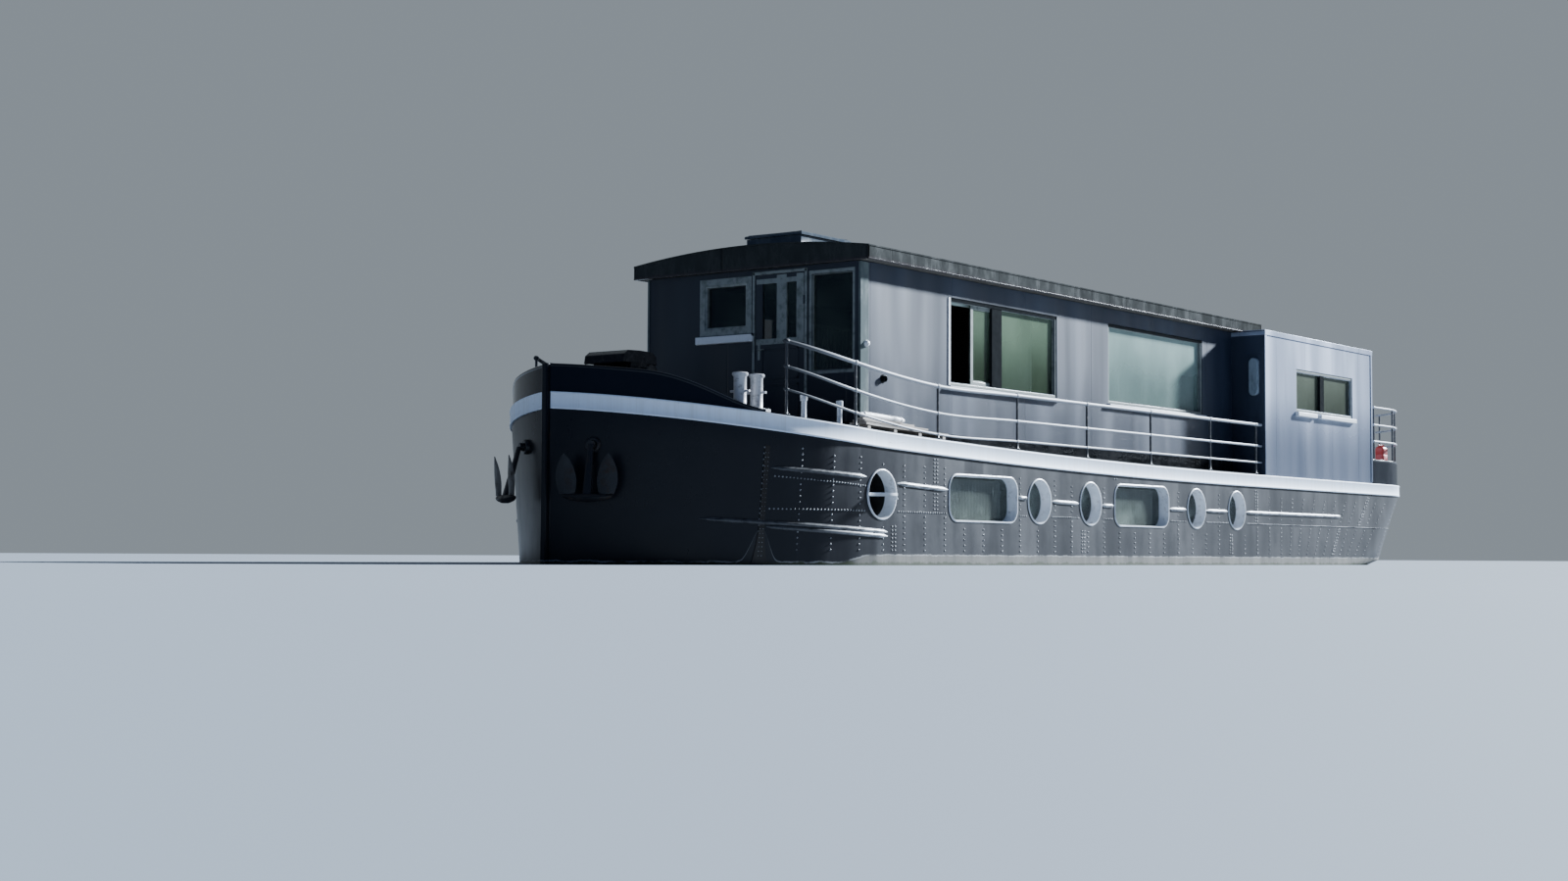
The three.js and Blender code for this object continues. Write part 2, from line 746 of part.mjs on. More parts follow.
// Each door: its thickness, its hinges' heights, and its light's drop below the doorway and border.
const DOOR = { thick: 50, hingeLow: 300, hingeHigh: 1650, light: 900, border: 130 };
const AXIS_OUT = 15; // how far a door's axis stands outside the wall's face

function doorLeaf(o, frontAft, rearAft, bottom) {
  const outer = box(frontAft, rearAft, o.starboard + CLEAR, o.port - CLEAR, bottom, o.high - CLEAR);
  const hole = box(
    frontAft - REACH,
    rearAft + REACH,
    o.starboard + DOOR.border,
    o.port - DOOR.border,
    o.high - DOOR.light,
    o.high - DOOR.border,
  );
  return cut(outer, hole);
}

function doorPane(o, midAft) {
  return box(
    midAft - PANE / 2,
    midAft + PANE / 2,
    o.starboard + DOOR.border + FRAME_CLEARANCE,
    o.port - DOOR.border - FRAME_CLEARANCE,
    o.high - DOOR.light + FRAME_CLEARANCE,
    o.high - DOOR.border - FRAME_CLEARANCE,
  );
}

const frontAxis = { aft: CABIN_FRONT - AXIS_OUT, y: DOORWAY.port - CLEAR / 2 };
const frontHinges = [DOORWAY.low + DOOR.hingeLow, DOORWAY.low + DOOR.hingeHigh];
const frontDoor = join(
  doorLeaf(DOORWAY, CABIN_FRONT, CABIN_FRONT + DOOR.thick, DOORWAY.low + CLEAR),
  ...frontHinges.map((h) => doorKnuckle(frontAxis.aft, frontAxis.y, h, -1, CABIN_FRONT, 1)),
);
const upperKnuckle = KNUCKLE.length + KNUCKLE.split;
const frontWallHinged = join(
  frontWall,
  ...frontHinges.map((h) =>
    doorKnuckle(frontAxis.aft, frontAxis.y, h + upperKnuckle, 1, CABIN_FRONT, 1),
  ),
);
const frontDoorGlass = doorPane(DOORWAY, CABIN_FRONT + DOOR.thick / 2);

// The aft cabin.

const boxTop = CABIN_TOP - BOX_ROOF;
const wallFoot = (aft) => deckLine(aft) + GAP;
const PASSAGE = { half: 400, high: 3800 };
const boxFrontWall = cut(
  deckBar(BOX_FRONT, BOX_FRONT + WALL, -HALF_BEAM, HALF_BEAM, wallFoot, () => boxTop - GAP),
  box(BOX_FRONT - REACH, BOX_FRONT + WALL + REACH, -PASSAGE.half, PASSAGE.half, FLOOR_H, PASSAGE.high),
);
const boxSideWall = join(
  cut(
    deckBar(
      BOX_FRONT + WALL + JOINT,
      BOX_REAR - WALL - JOINT,
      HALF_BEAM - WALL,
      HALF_BEAM,
      wallFoot,
      () => boxTop - GAP,
    ),
    ...sideHoles(BOX_WINDOW, HALF_BEAM),
  ),
  ...sideTrim(BOX_WINDOW, HALF_BEAM),
);
const REAR_DOORWAY = { starboard: -400, port: 400, low: FLOOR_H + GAP, high: 3830 };
const rearAxis = { aft: BOX_REAR + AXIS_OUT, y: REAR_DOORWAY.port - CLEAR / 2 };
const rearHinges = [REAR_DOORWAY.low + DOOR.hingeLow, REAR_DOORWAY.low + DOOR.hingeHigh];
const boxRearWall = join(
  cut(
    deckBar(BOX_REAR - WALL, BOX_REAR, -HALF_BEAM, HALF_BEAM, wallFoot, () => boxTop - GAP),
    box(
      BOX_REAR - WALL - REACH,
      BOX_REAR + REACH,
      REAR_DOORWAY.starboard,
      REAR_DOORWAY.port,
      REAR_DOORWAY.low,
      REAR_DOORWAY.high,
    ),
  ),
  ...rearHinges.map((h) => doorKnuckle(rearAxis.aft, rearAxis.y, h + upperKnuckle, 1, BOX_REAR, -1)),
);
const rearDoor = join(
  doorLeaf(REAR_DOORWAY, BOX_REAR - DOOR.thick, BOX_REAR, REAR_DOORWAY.low + CLEAR),
  ...rearHinges.map((h) => doorKnuckle(rearAxis.aft, rearAxis.y, h, -1, BOX_REAR, -1)),
);
const rearDoorGlass = doorPane(REAR_DOORWAY, BOX_REAR - DOOR.thick / 2);
const boxFloor = floorFrom(
  BOX_FRONT + WALL + JOINT,
  BOX_REAR - WALL - JOINT,
  HALF_BEAM - WALL - JOINT,
);
const boxRoof = box(BOX_FRONT, BOX_REAR, -HALF_BEAM, HALF_BEAM, boxTop, CABIN_TOP - GAP);

// The main roof: a cambered slab with an upright fascia round its edge.

const CAMBER_STEPS = [-1, -0.66, -0.33, 0, 0.33, 0.66, 1];
const camber = (t) => CABIN_TOP + FASCIA + ROOF_CREST * (1 - t ** 2);
const roofEnd = (aft) => [
  ...CAMBER_STEPS.map((t) => [X(aft), t * ROOF_HALF, Z(CABIN_TOP)]),
  ...[...CAMBER_STEPS].reverse().map((t) => [X(aft), t * ROOF_HALF, Z(camber(t))]),
];
const mainRoof = loft([roofEnd(ROOF_FRONT), roofEnd(ROOF_REAR)]);

// The skylight: a coaming on the roof and a lid hinged along its aft edge.

const SKYLIGHT = { front: 4650, rear: 5800, half: 480, low: 4300, high: 4640, wall: 40 };
const LID = { thick: 45, over: 30, lift: CLEAR };
const AXIS_UP = 8; // how far a lid's axis stands above its coaming
// The plates that carry a lid's knuckles.
const TAB = { lap: 10, rise: 10, root: 1, upright: 12, bite: 5, armHalf: 12 };
const lidHinges = [-0.6, 0.6]; // places across, as a part of the lid's half width

// A hinge across the boat behind the aft edge of a lid: its bar, and the tab that holds it.
function lidKnuckle(axisAft, axisH, y, tab) {
  const end = y + KNUCKLE.length;
  const bar = rod(point(axisAft, y, axisH), point(axisAft, end, axisH), KNUCKLE.radius);
  return join(bar, box(tab.front, axisAft, y, end, tab.low, tab.high));
}

function hatchParts(front, rear, half, low, high, wall, inside) {
  const axisAft = rear + 2 * LID.over;
  const axisH = high + AXIS_UP;
  const armH = axisH - KNUCKLE.reach;
  const shell = cut(
    box(front, rear, -half, half, low, high),
    box(front + wall, rear - wall, -half + wall, half - wall, inside, high + REACH),
  );
  const lidTab = { front: rear + LID.over - TAB.lap, low: axisH - TAB.root, high: axisH + TAB.rise };
  const upright = { front: axisAft - TAB.upright, low: armH, high: axisH };
  const arm = { front: rear - TAB.bite, low: armH - TAB.armHalf, high: armH + TAB.armHalf };
  const places = lidHinges.map((t) => t * half);
  const coaming = join(
    shell,
    ...places
      .map((y) => y + upperKnuckle)
      .flatMap((y) => [
        lidKnuckle(axisAft, axisH, y, upright),
        box(arm.front, axisAft, y, y + KNUCKLE.length, arm.low, arm.high),
      ]),
  );
  const lidPlate = box(
    front - LID.over,
    rear + LID.over,
    -half - LID.over,
    half + LID.over,
    high + LID.lift,
    high + LID.lift + LID.thick,
  );
  const lid = join(lidPlate, ...places.map((y) => lidKnuckle(axisAft, axisH, y, lidTab)));
  return { coaming, lid, axis: point(axisAft, 0, axisH) };
}

const skylight = hatchParts(
  SKYLIGHT.front,
  SKYLIGHT.rear,
  SKYLIGHT.half,
  SKYLIGHT.low,
  SKYLIGHT.high,
  SKYLIGHT.wall,
  SKYLIGHT.low - REACH,
);
// The coaming stands on the crown of the roof, so the roof's own shape is taken off its foot.
const roofTool = loft([roofEnd(ROOF_FRONT), roofEnd(BOX_FRONT)]).translate(0, 0, GAP);
const skylightCoaming = cut(skylight.coaming, roofTool);
const skylightHole = box(
  SKYLIGHT.front + SKYLIGHT.wall,
  SKYLIGHT.rear - SKYLIGHT.wall,
  -SKYLIGHT.half + SKYLIGHT.wall,
  SKYLIGHT.half - SKYLIGHT.wall,
  CABIN_TOP - REACH,
  SKYLIGHT.high,
);
const roof = cut(mainRoof, skylightHole);

const hatchFor = ({ front, rear, half, rise }) => {
  const foot = deckLine(rear) - REACH;
  return hatchParts(front, rear, half, foot, deckLine(front) + rise, HATCH_WALL, foot - REACH);
};
const deckTool = hullBody(UPPER_LEVELS).translate(0, 0, GAP);
const foreHatch = hatchFor(HATCHES.fore);
const aftHatch = hatchFor(HATCHES.aft);
const foreHatchCoaming = cut(foreHatch.coaming, deckTool);
const aftHatchCoaming = cut(aftHatch.coaming, deckTool);

// The handrails along the side decks.

const POST_INSET = -78;
const POST_R = 18;
const POST_RISE = 10; // a post's top above the top rail's middle
const RAIL_POSTS = [2050, 3230, 5190, 7300, 9360, 11440, 13580, 15370];
const RAIL_END = BOX_FRONT - 2 * JOINT;
// Each rail: its height along the cabin, its rise at the two forward posts, and its radius.
const RAILS = [
  { h: 2450, rise: [380, 180], radius: 27 },
  { h: 2080, rise: [430, 190], radius: 20 },
  { h: 1790, rise: [430, 190], radius: 16 },
];
const railHeight = (rail, index) => rail.h + (rail.rise[index] ?? 0);
const railPoints = (rail) => [
  ...RAIL_POSTS.map((aft, i) => beside(deckPlace(aft), POST_INSET, railHeight(rail, i))),
  beside(deckPlace(RAIL_END), POST_INSET, rail.h),
];

function railing(points, radius) {
  return points.slice(1).map((to, i) => rod(points[i], to, radius));
}

const posts = RAIL_POSTS.map((aft, i) => {
  const place = deckPlace(aft);
  const foot = beside(place, POST_INSET, deckTop(aft - POST_R) + 2 * GAP);
  return rod(foot, beside(place, POST_INSET, railHeight(RAILS[0], i) + POST_RISE), POST_R);
});
const handrail = join(...posts, ...RAILS.flatMap((rail) => railing(railPoints(rail), rail.radius)));

// The rail round the stern stands on the bulwark.
const STERN_POSTS = [20620, 21600, 22400, 23050, 23440];
const STERN_RAIL_HS = [2390, 2710, 3050];
const STERN_RAIL_R = 20;
const STERN_INSET = -30;
const portSternPosts = STERN_POSTS.map(deckPlace);
const sternPosts = [...portSternPosts, ...portSternPosts.map(mirrorPlace).reverse()];
const sternRail = join(
  ...sternPosts.map((place) =>
    rod(
      beside(place, STERN_INSET, STERN_BULWARK.h + GAP),
      beside(place, STERN_INSET, STERN_RAIL_HS[2]),
      POST_R,
    ),
  ),
  ...STERN_RAIL_HS.flatMap((h) =>
    railing(sternPosts.map((place) => beside(place, STERN_INSET, h)), STERN_RAIL_R),
  ),
);

// Deck gear.

// A pair of bollards on one base: two places behind the stem, their place across and height.
const BITTS = { radius: 82, cap: 104, capHeight: 40, end: 160, half: 130, base: 60, root: 30 };
function bitts([aft0, aft1], y, height) {
  const foot = deckTop(aft0) + GAP;
  const base = deckBar(
    aft0 - BITTS.end,
    aft1 + BITTS.end,
    y - BITTS.half,
    y + BITTS.half,
    (aft) => deckTop(aft) + GAP,
    () => foot + BITTS.base,
  );
  const bollards = [aft0, aft1].flatMap((aft) => {
    const top = point(aft, y, foot + height);
    return [
      rod(point(aft, y, foot + BITTS.root), top, BITTS.radius, ROUND),
      rod(point(aft, y, foot + height - BITTS.capHeight), top, BITTS.cap, ROUND),
    ];
  });
  return join(base, ...bollards);
}
const foreBitts = bitts([1720, 2060], 1700, 500);
const aftBitts = bitts([20900, 21240], 2150, 420);

// The windlass: a bed, two cheeks, a drum with its warping ends, and a hood.
const WINDLASS = { front: 1000, rear: 1750, half: 300, top: 2750 };
const BED = { over: 40, thick: 60 };
const CHEEK = { inset: 60, half: 20, foot: 30 };
const DRUM = { up: 420, radius: 150, endRadius: 120, endLength: 240 };
const HOOD = { inset: 40, over: 30, thick: 70 };
const windlassMid = (WINDLASS.front + WINDLASS.rear) / 2;
const windlassFoot = deckTop(WINDLASS.front) + GAP;
const drumH = windlassFoot + DRUM.up;
const drum = (half, radius) =>
  rod(point(windlassMid, -half, drumH), point(windlassMid, half, drumH), radius, ROUND);
const windlass = join(
  deckBar(
    WINDLASS.front,
    WINDLASS.rear,
    -WINDLASS.half - BED.over,
    WINDLASS.half + BED.over,
    (aft) => deckTop(aft) + GAP,
    () => windlassFoot + BED.thick,
  ),
  ...[-1, 1].map((side) =>
    box(
      WINDLASS.front + CHEEK.inset,
      WINDLASS.rear - CHEEK.inset,
      side * WINDLASS.half - CHEEK.half,
      side * WINDLASS.half + CHEEK.half,
      windlassFoot + CHEEK.foot,
      WINDLASS.top - CHEEK.inset,
    ),
  ),
  drum(WINDLASS.half, DRUM.radius),
  drum(WINDLASS.half + DRUM.endLength, DRUM.endRadius),
  box(
    WINDLASS.front + HOOD.inset,
    WINDLASS.rear - HOOD.inset,
    -WINDLASS.half - HOOD.over,
    WINDLASS.half + HOOD.over,
    WINDLASS.top - HOOD.thick,
    WINDLASS.top,
  ),
);

const GANGPLANK = { front: 3700, rear: 5700, y: 2130, half: 140, thick: 120 };
const gangplank = deckBar(
  GANGPLANK.front,
  GANGPLANK.rear,
  GANGPLANK.y - GANGPLANK.half,
  GANGPLANK.y + GANGPLANK.half,
  (aft) => deckTop(aft) + 2 * GAP,
  (aft) => deckTop(aft) + GANGPLANK.thick,
);

// A wooden step box stands inside the port quarter's bulwark, as high as its top, with the fuel can
// on it: a top board, two end boards and two side boards.
const STEP = { front: 21820, rear: 22280, inner: 1870, outer: 2170, top: 2030, board: 30, inset: 15 };
const stepFoot = (aft) => deckTop(aft) + GAP;
const stepUnder = () => STEP.top - STEP.board / 2;
const stepEnds = [STEP.front + STEP.inset, STEP.rear - STEP.inset - STEP.board];
const stepSides = [STEP.inner + STEP.inset, STEP.outer - STEP.inset - STEP.board];
const boardingStep = join(
  box(STEP.front, STEP.rear, STEP.inner, STEP.outer, STEP.top - STEP.board, STEP.top),
  ...stepEnds.map((aft) =>
    deckBar(
      aft,
      aft + STEP.board,
      STEP.inner + STEP.inset,
      STEP.outer - STEP.inset,
      stepFoot,
      stepUnder,
    ),
  ),
  ...stepSides.map((y) =>
    deckBar(STEP.front + STEP.inset, STEP.rear - STEP.inset, y, y + STEP.board, stepFoot, stepUnder),
  ),
);

const CAN = { front: 21935, rear: 22185, y: 2050, half: 90, height: 330 };
const CAN_GRIP = { inset: 50, half: 15, root: 10, rise: 40 };
const canTop = STEP.top + CAN.height;
const fuelCan = join(
  box(CAN.front, CAN.rear, CAN.y - CAN.half, CAN.y + CAN.half, STEP.top + GAP, canTop),
  box(
    CAN.front + CAN_GRIP.inset,
    CAN.rear - CAN_GRIP.inset,
    CAN.y - CAN_GRIP.half,
    CAN.y + CAN_GRIP.half,
    canTop - CAN_GRIP.root,
    canTop + CAN_GRIP.rise,
  ),
);

// The anchors hang from the hawse lips, a little clear of the bow.

const ANCHOR = { hang: 640, lean: 230, stand: 60, ring: 54, shank: 42, sides: 12 };
const CROWN = { half: 290, end: 60, radius: 60 };
const PALM = { length: 520, foot: 66, belly: 165, bellyAt: 0.45, thick: 40, drop: 20, segments: 6 };
const crownCentre = hawseFace
  .clone()
  .addScaledVector(hawseOut, ANCHOR.lean)
  .add(new THREE.Vector3(0, 0, -ANCHOR.hang));
const along = new THREE.Vector3(-hawseOut.y, hawseOut.x, 0);
const shankTop = hawseFace.clone().addScaledVector(hawseOut, ANCHOR.stand);
const bellyH = PALM.length * PALM.bellyAt;
const palmShape = new THREE.Shape();
palmShape.moveTo(-PALM.foot, 0);
palmShape.lineTo(PALM.foot, 0);
palmShape.quadraticCurveTo(PALM.belly, bellyH, 0, PALM.length);
palmShape.quadraticCurveTo(-PALM.belly, bellyH, -PALM.foot, 0);

function palm(side) {
  const settings = { depth: PALM.thick, bevelEnabled: false, curveSegments: PALM.segments };
  const geometry = new THREE.ExtrudeGeometry(palmShape, settings).translate(0, 0, -PALM.thick / 2);
  const frame = new THREE.Matrix4().makeBasis(along, new THREE.Vector3(0, 0, 1), hawseOut);
  geometry.applyMatrix4(frame);
  const foot = crownCentre.clone().addScaledVector(along, side * CROWN.half);
  return geometry.translate(foot.x, foot.y, foot.z - PALM.drop);
}
const crownEnd = (side) =>
  crownCentre.clone().addScaledVector(along, side * (CROWN.half + CROWN.end));
const anchor = join(
  rod(hawseFace.clone().addScaledVector(hawseOut, GAP), shankTop, ANCHOR.ring, ANCHOR.sides),
  rod(shankTop, crownCentre, ANCHOR.shank, ANCHOR.sides),
  rod(crownEnd(-1), crownEnd(1), CROWN.radius, ANCHOR.sides),
  palm(-1),
  palm(1),
);

// The engine, the propeller with its shaft, and the rudder.

const engine = box(ENGINE.front, ENGINE.rear, -ENGINE.half, ENGINE.half, ENGINE.low + GAP, ENGINE.high);

const hubFront = PROPELLER.aft - PROPELLER.hubLength / 2;
const hubRear = PROPELLER.aft + PROPELLER.hubLength / 2;
const BLADE = { foot: 60, belly: 175, bellyAt: 0.75, thick: 24, pitch: Math.PI / 5, segments: 6 };
const bladeBelly = PROPELLER.radius * BLADE.bellyAt;
const bladeShape = new THREE.Shape();
bladeShape.moveTo(-BLADE.foot, 0);
bladeShape.lineTo(BLADE.foot, 0);
bladeShape.quadraticCurveTo(BLADE.belly, bladeBelly, 0, PROPELLER.radius);
bladeShape.quadraticCurveTo(-BLADE.belly, bladeBelly, -BLADE.foot, 0);

function blade(turn) {
  const settings = { depth: BLADE.thick, bevelEnabled: false, curveSegments: BLADE.segments };
  const geometry = new THREE.ExtrudeGeometry(bladeShape, settings).translate(0, 0, -BLADE.thick / 2);
  geometry.rotateX(Math.PI / 2).rotateZ(BLADE.pitch).rotateX(turn);
  return geometry.translate(X(PROPELLER.aft), 0, Z(PROPELLER.h));
}
const blades = Array.from({ length: PROPELLER.blades }, (_, i) =>
  blade((i * 2 * Math.PI) / PROPELLER.blades),
);
const SHAFT_NUT = { radius: 38, length: 45, root: 10, sides: 12 };
const propeller = join(
  rod(point(hubFront, 0, PROPELLER.h), point(hubRear, 0, PROPELLER.h), PROPELLER.hub, ROUND),
  rod(
    point(hubRear - SHAFT_NUT.root, 0, PROPELLER.h),
    point(hubRear + SHAFT_NUT.length, 0, PROPELLER.h),
    SHAFT_NUT.radius,
    SHAFT_NUT.sides,
  ),
  ...blades,
);

const rudderTop = COUNTER_H - BEARING.drop - GAP * 2;
const rudder = join(
  rod(point(RUDDER.stock, 0, RUDDER.low), point(RUDDER.stock, 0, rudderTop), RUDDER.stockRadius, ROUND),
  box(
    RUDDER.stock - RUDDER.lead,
    RUDDER.stock + RUDDER.chord - RUDDER.lead,
    -RUDDER.thick / 2,
    RUDDER.thick / 2,
    RUDDER.low + RUDDER.heel,
    RUDDER.high,
  ),
);

// The object as a scene graph.

const COLOURS = {
  hull: [0x16181c, 0.35, 0.3],
  white: [0xe8eaee, 0.5, 0.0],
  deck: [0x3a3c40, 0.8, 0.1],
  wall: [0x4a505c, 0.4, 0.4],
  box: [0xb9bec8, 0.35, 0.6],
  roof: [0x6d6c6a, 0.8, 0.1],
  rail: [0xd8d9dc, 0.3, 0.8],
  iron: [0x202226, 0.6, 0.7],
  glass: [0x9fb8a8, 0.1, 0.0],
  wood: [0x8a6b4a, 0.7, 0.0],
  red: [0xb01818, 0.5, 0.0],
  bronze: [0x9c7a3c, 0.35, 0.9],
};

function material(key) {
  const [color, roughness, metalness] = COLOURS[key];
  return new THREE.MeshStandardMaterial({ color, roughness, metalness });
}

const group = new THREE.Group();
function add(name, geometry, finish) {
  const mesh = new THREE.Mesh(geometry, material(finish));
  mesh.name = name;
  group.add(mesh);
}

function addPair(name, geometry, finish) {
  add("port_" + name, geometry, finish);
  add("starboard_" + name, mirrored(geometry), finish);
}

add("hull", hull, "hull");
add("stem_bar", stemBar, "hull");
add("sheer_belt", belt, "white");
add("bow_bulwark", bowBulwark, "hull");
add("stern_bulwark", sternBulwark, "hull");
add("fore_deck", foreDeck, "deck");
addPair("side_deck", sideDeck, "deck");
add("aft_deck", aftDeck, "deck");
add("cabin_coaming", join(coamingFront, bothSides(coamingSide)), "hull");
add("saloon_floor", saloonFloor, "wood");
add("cabin_partition", partition, "wood");
add("cabin_front_wall", frontWallHinged, "wall");
addPair("cabin_wall", portWall, "wall");
add("front_window_pane", frontPane(FRONT_WINDOW), "glass");
add("front_dark_pane", frontPane(DARK_WINDOW), "glass");
addPair("forward_pane", forwardPane, "glass");
addPair("midship_pane", midshipPane, "glass");
add("main_roof", roof, "roof");
add("skylight_coaming", skylightCoaming, "roof");
add("skylight_lid", skylight.lid, "roof");
add("front_door", frontDoor, "wall");
add("front_door_pane", frontDoorGlass, "glass");
add("aft_cabin_front_wall", boxFrontWall, "wall");
addPair("aft_cabin_wall", boxSideWall, "box");
addPair("aft_cabin_pane", boxPane, "glass");
add("aft_cabin_rear_wall", boxRearWall, "box");
add("aft_cabin_floor", boxFloor, "wood");
add("aft_cabin_roof", boxRoof, "box");
add("rear_door", rearDoor, "wall");
add("rear_door_pane", rearDoorGlass, "glass");
addPair("handrail", handrail, "rail");
add("stern_rail", sternRail, "rail");
addPair("fore_bitts", foreBitts, "rail");
addPair("aft_bitts", aftBitts, "iron");
add("windlass", windlass, "iron");
addPair("anchor", anchor, "iron");
add("fore_hatch_coaming", foreHatchCoaming, "hull");
add("fore_hatch_lid", foreHatch.lid, "hull");
add("aft_hatch_coaming", aftHatchCoaming, "hull");
add("aft_hatch_lid", aftHatch.lid, "hull");
add("gangplank", gangplank, "wood");
add("boarding_step", boardingStep, "wood");
add("fuel_can", fuelCan, "red");
add("engine", engine, "iron");
add("propeller", propeller, "bronze");
add("rudder", rudder, "hull");

// The origin is at the middle of the bottom of the whole boat.
const bounds = new THREE.Box3().setFromObject(group);
const middle = bounds.getCenter(new THREE.Vector3());
group.position.set(-middle.x, -middle.y, -bounds.min.z);

export default group;
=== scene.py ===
import math

import bmesh
import bpy
from mathutils import Matrix, Vector


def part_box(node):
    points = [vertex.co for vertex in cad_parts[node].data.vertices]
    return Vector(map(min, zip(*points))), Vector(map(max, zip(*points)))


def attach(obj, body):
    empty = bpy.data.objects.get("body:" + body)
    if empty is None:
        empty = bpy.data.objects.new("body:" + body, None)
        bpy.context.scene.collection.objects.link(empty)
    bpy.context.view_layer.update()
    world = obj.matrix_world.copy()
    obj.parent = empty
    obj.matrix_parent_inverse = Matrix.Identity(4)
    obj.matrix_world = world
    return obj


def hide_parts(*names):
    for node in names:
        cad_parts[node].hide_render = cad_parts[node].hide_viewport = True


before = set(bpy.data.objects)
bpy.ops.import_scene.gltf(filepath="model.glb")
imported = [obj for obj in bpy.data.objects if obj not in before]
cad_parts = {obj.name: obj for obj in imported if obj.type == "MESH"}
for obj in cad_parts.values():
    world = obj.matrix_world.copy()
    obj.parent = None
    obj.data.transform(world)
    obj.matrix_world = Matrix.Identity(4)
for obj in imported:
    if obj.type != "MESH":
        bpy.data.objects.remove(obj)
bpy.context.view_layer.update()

# The viewpoint. The eye is a hand's breadth above the water, ahead of the boat and to port, and
# looks aft along the port side; all places on the boat are given aft of the stem and above the water.
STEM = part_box("hull")[1].x
WATER = 0.9
EYE_AHEAD, EYE_PORT, EYE_UP = 19.86, 18.6, 0.12
TURN, PITCH, ROLL = (math.radians(angle) for angle in (36.9, 3.03, 0.3))
UP = Vector((0, 0, 1))
TO_PORT = Vector((0, 1, 0))


def at(aft, y, h):
    """A place aft of the stem, to port of the centreline and above the water, in metres."""
    return Vector((STEM - aft, y, WATER + h))


def placed(name, data):
    made = bpy.data.objects.new(name, data)
    bpy.context.scene.collection.objects.link(made)
    return made


level = Vector((-math.cos(TURN), -math.sin(TURN), 0))
across = Vector((-math.sin(TURN), math.cos(TURN), 0))
ahead = level * math.cos(PITCH) + UP * math.sin(PITCH)
upright = -level * math.sin(PITCH) + UP * math.cos(PITCH)
right = across * math.cos(ROLL) + upright * math.sin(ROLL)
top = upright * math.cos(ROLL) - across * math.sin(ROLL)
turned = Matrix((right, top, -ahead)).transposed().to_4x4()
camera = placed("camera", bpy.data.cameras.new("camera"))
camera.data.lens = 50
camera.data.sensor_width = 36
camera.data.clip_end = 300
camera.matrix_world = Matrix.Translation(at(-EYE_AHEAD, EYE_PORT, EYE_UP)) @ turned
bpy.context.scene.camera = camera


# The studio. A pale floor lies at the waterline, a broad lamp low on the port quarter lights the
# side, and the surround is pale behind the boat and a dim blue behind the eye.
class Value:
    """A socket of a node. Sums on it add Math nodes."""

    def __init__(self, nodes, socket):
        self.nodes = nodes
        self.socket = socket

    def maths(self, operation, *terms):
        return self.nodes.node("ShaderNodeMath", {"operation": operation}, dict(enumerate(terms)))

    def __add__(self, other):
        return self.maths("ADD", self, other)

    def __mul__(self, other):
        return self.maths("MULTIPLY", self, other)

    __radd__ = __add__
    __rmul__ = __mul__

    def __sub__(self, other):
        return self.maths("SUBTRACT", self, other)

    def __rsub__(self, other):
        return self.maths("SUBTRACT", other, self)

    def __truediv__(self, other):
        return self.maths("DIVIDE", self, other)

    def __mod__(self, other):
        return self.maths("FLOORED_MODULO", self, other)

    def __gt__(self, other):
        return self.maths("GREATER_THAN", self, other)

    def __abs__(self):
        return self.maths("ABSOLUTE", self)

    def __floor__(self):
        return self.maths("FLOOR", self)

    def sine(self):
        return self.maths("SINE", self)

    def ramp(self, low, high, first=0.0, last=1.0):
        """first up to low, last from high on, and a smooth change between them."""
        inputs = {0: self, 1: low, 2: high, 3: first, 4: last}
        return self.nodes.node("ShaderNodeMapRange", {"interpolation_type": "SMOOTHSTEP"}, inputs)


class Nodes:
    """The nodes of a material or of the surround."""

    def __init__(self, tree):
        self.tree = tree

    def node(self, kind, settings=None, inputs=None, output=0):
        made = self.tree.nodes.new(kind)
        for name, value in (settings or {}).items():
            setattr(made, name, value)
        for name, value in (inputs or {}).items():
            if isinstance(value, Value):
                self.tree.links.new(value.socket, made.inputs[name])
            else:
                made.inputs[name].default_value = value
        return Value(self, made.outputs[output])

    def mix(self, share, first, second):
        inputs = {0: share}
        for socket, colour in ((6, first), (7, second)):
            inputs[socket] = colour if isinstance(colour, Value) else (*colour, 1.0)
        return self.node("ShaderNodeMix", {"data_type": "RGBA"}, inputs, output=2)


class Paint(Nodes):
    """A material worked out from places on the boat, in metres, and the slot it is the finish of."""

    def __init__(self, name, slot=None, **fixed):
        self.slot = slot
        self.material = bpy.data.materials.new(name)
        self.material.use_nodes = True
        super().__init__(self.material.node_tree)
        self.shader = self.tree.nodes["Principled BSDF"]
        for socket, value in fixed.items():
            self.shader.inputs[socket.replace("_", " ")].default_value = value
        self.place = self.node("ShaderNodeTexCoord", output="Object")
        self.x, self.y, self.z = (
            self.node("ShaderNodeSeparateXYZ", inputs={0: self.place}, output=k) for k in range(3)
        )

    def noise(self, scale, detail=3.0, rough=0.55, stretch=(1, 1, 1)):
        """Cloudy patches, of about 1 / scale metres."""
        settings = {"operation": "MULTIPLY"}
        spot = self.node("ShaderNodeVectorMath", settings, {0: self.place, 1: stretch})
        inputs = {"Vector": spot, "Scale": scale, "Detail": detail, "Roughness": rough}
        return self.node("ShaderNodeTexNoise", inputs=inputs)

    def row_tone(self, row):
        """A shade for each whole number."""
        return self.node("ShaderNodeTexWhiteNoise", {"noise_dimensions": "1D"}, {"W": row})

    def bump(self, height, depth):
        inputs = {"Height": height, "Distance": depth, "Strength": 1.0}
        self.set(Normal=self.node("ShaderNodeBump", inputs=inputs))

    def set(self, **links):
        for socket, value in links.items():
            self.tree.links.new(value.socket, self.shader.inputs[socket.replace("_", " ")])
        return self


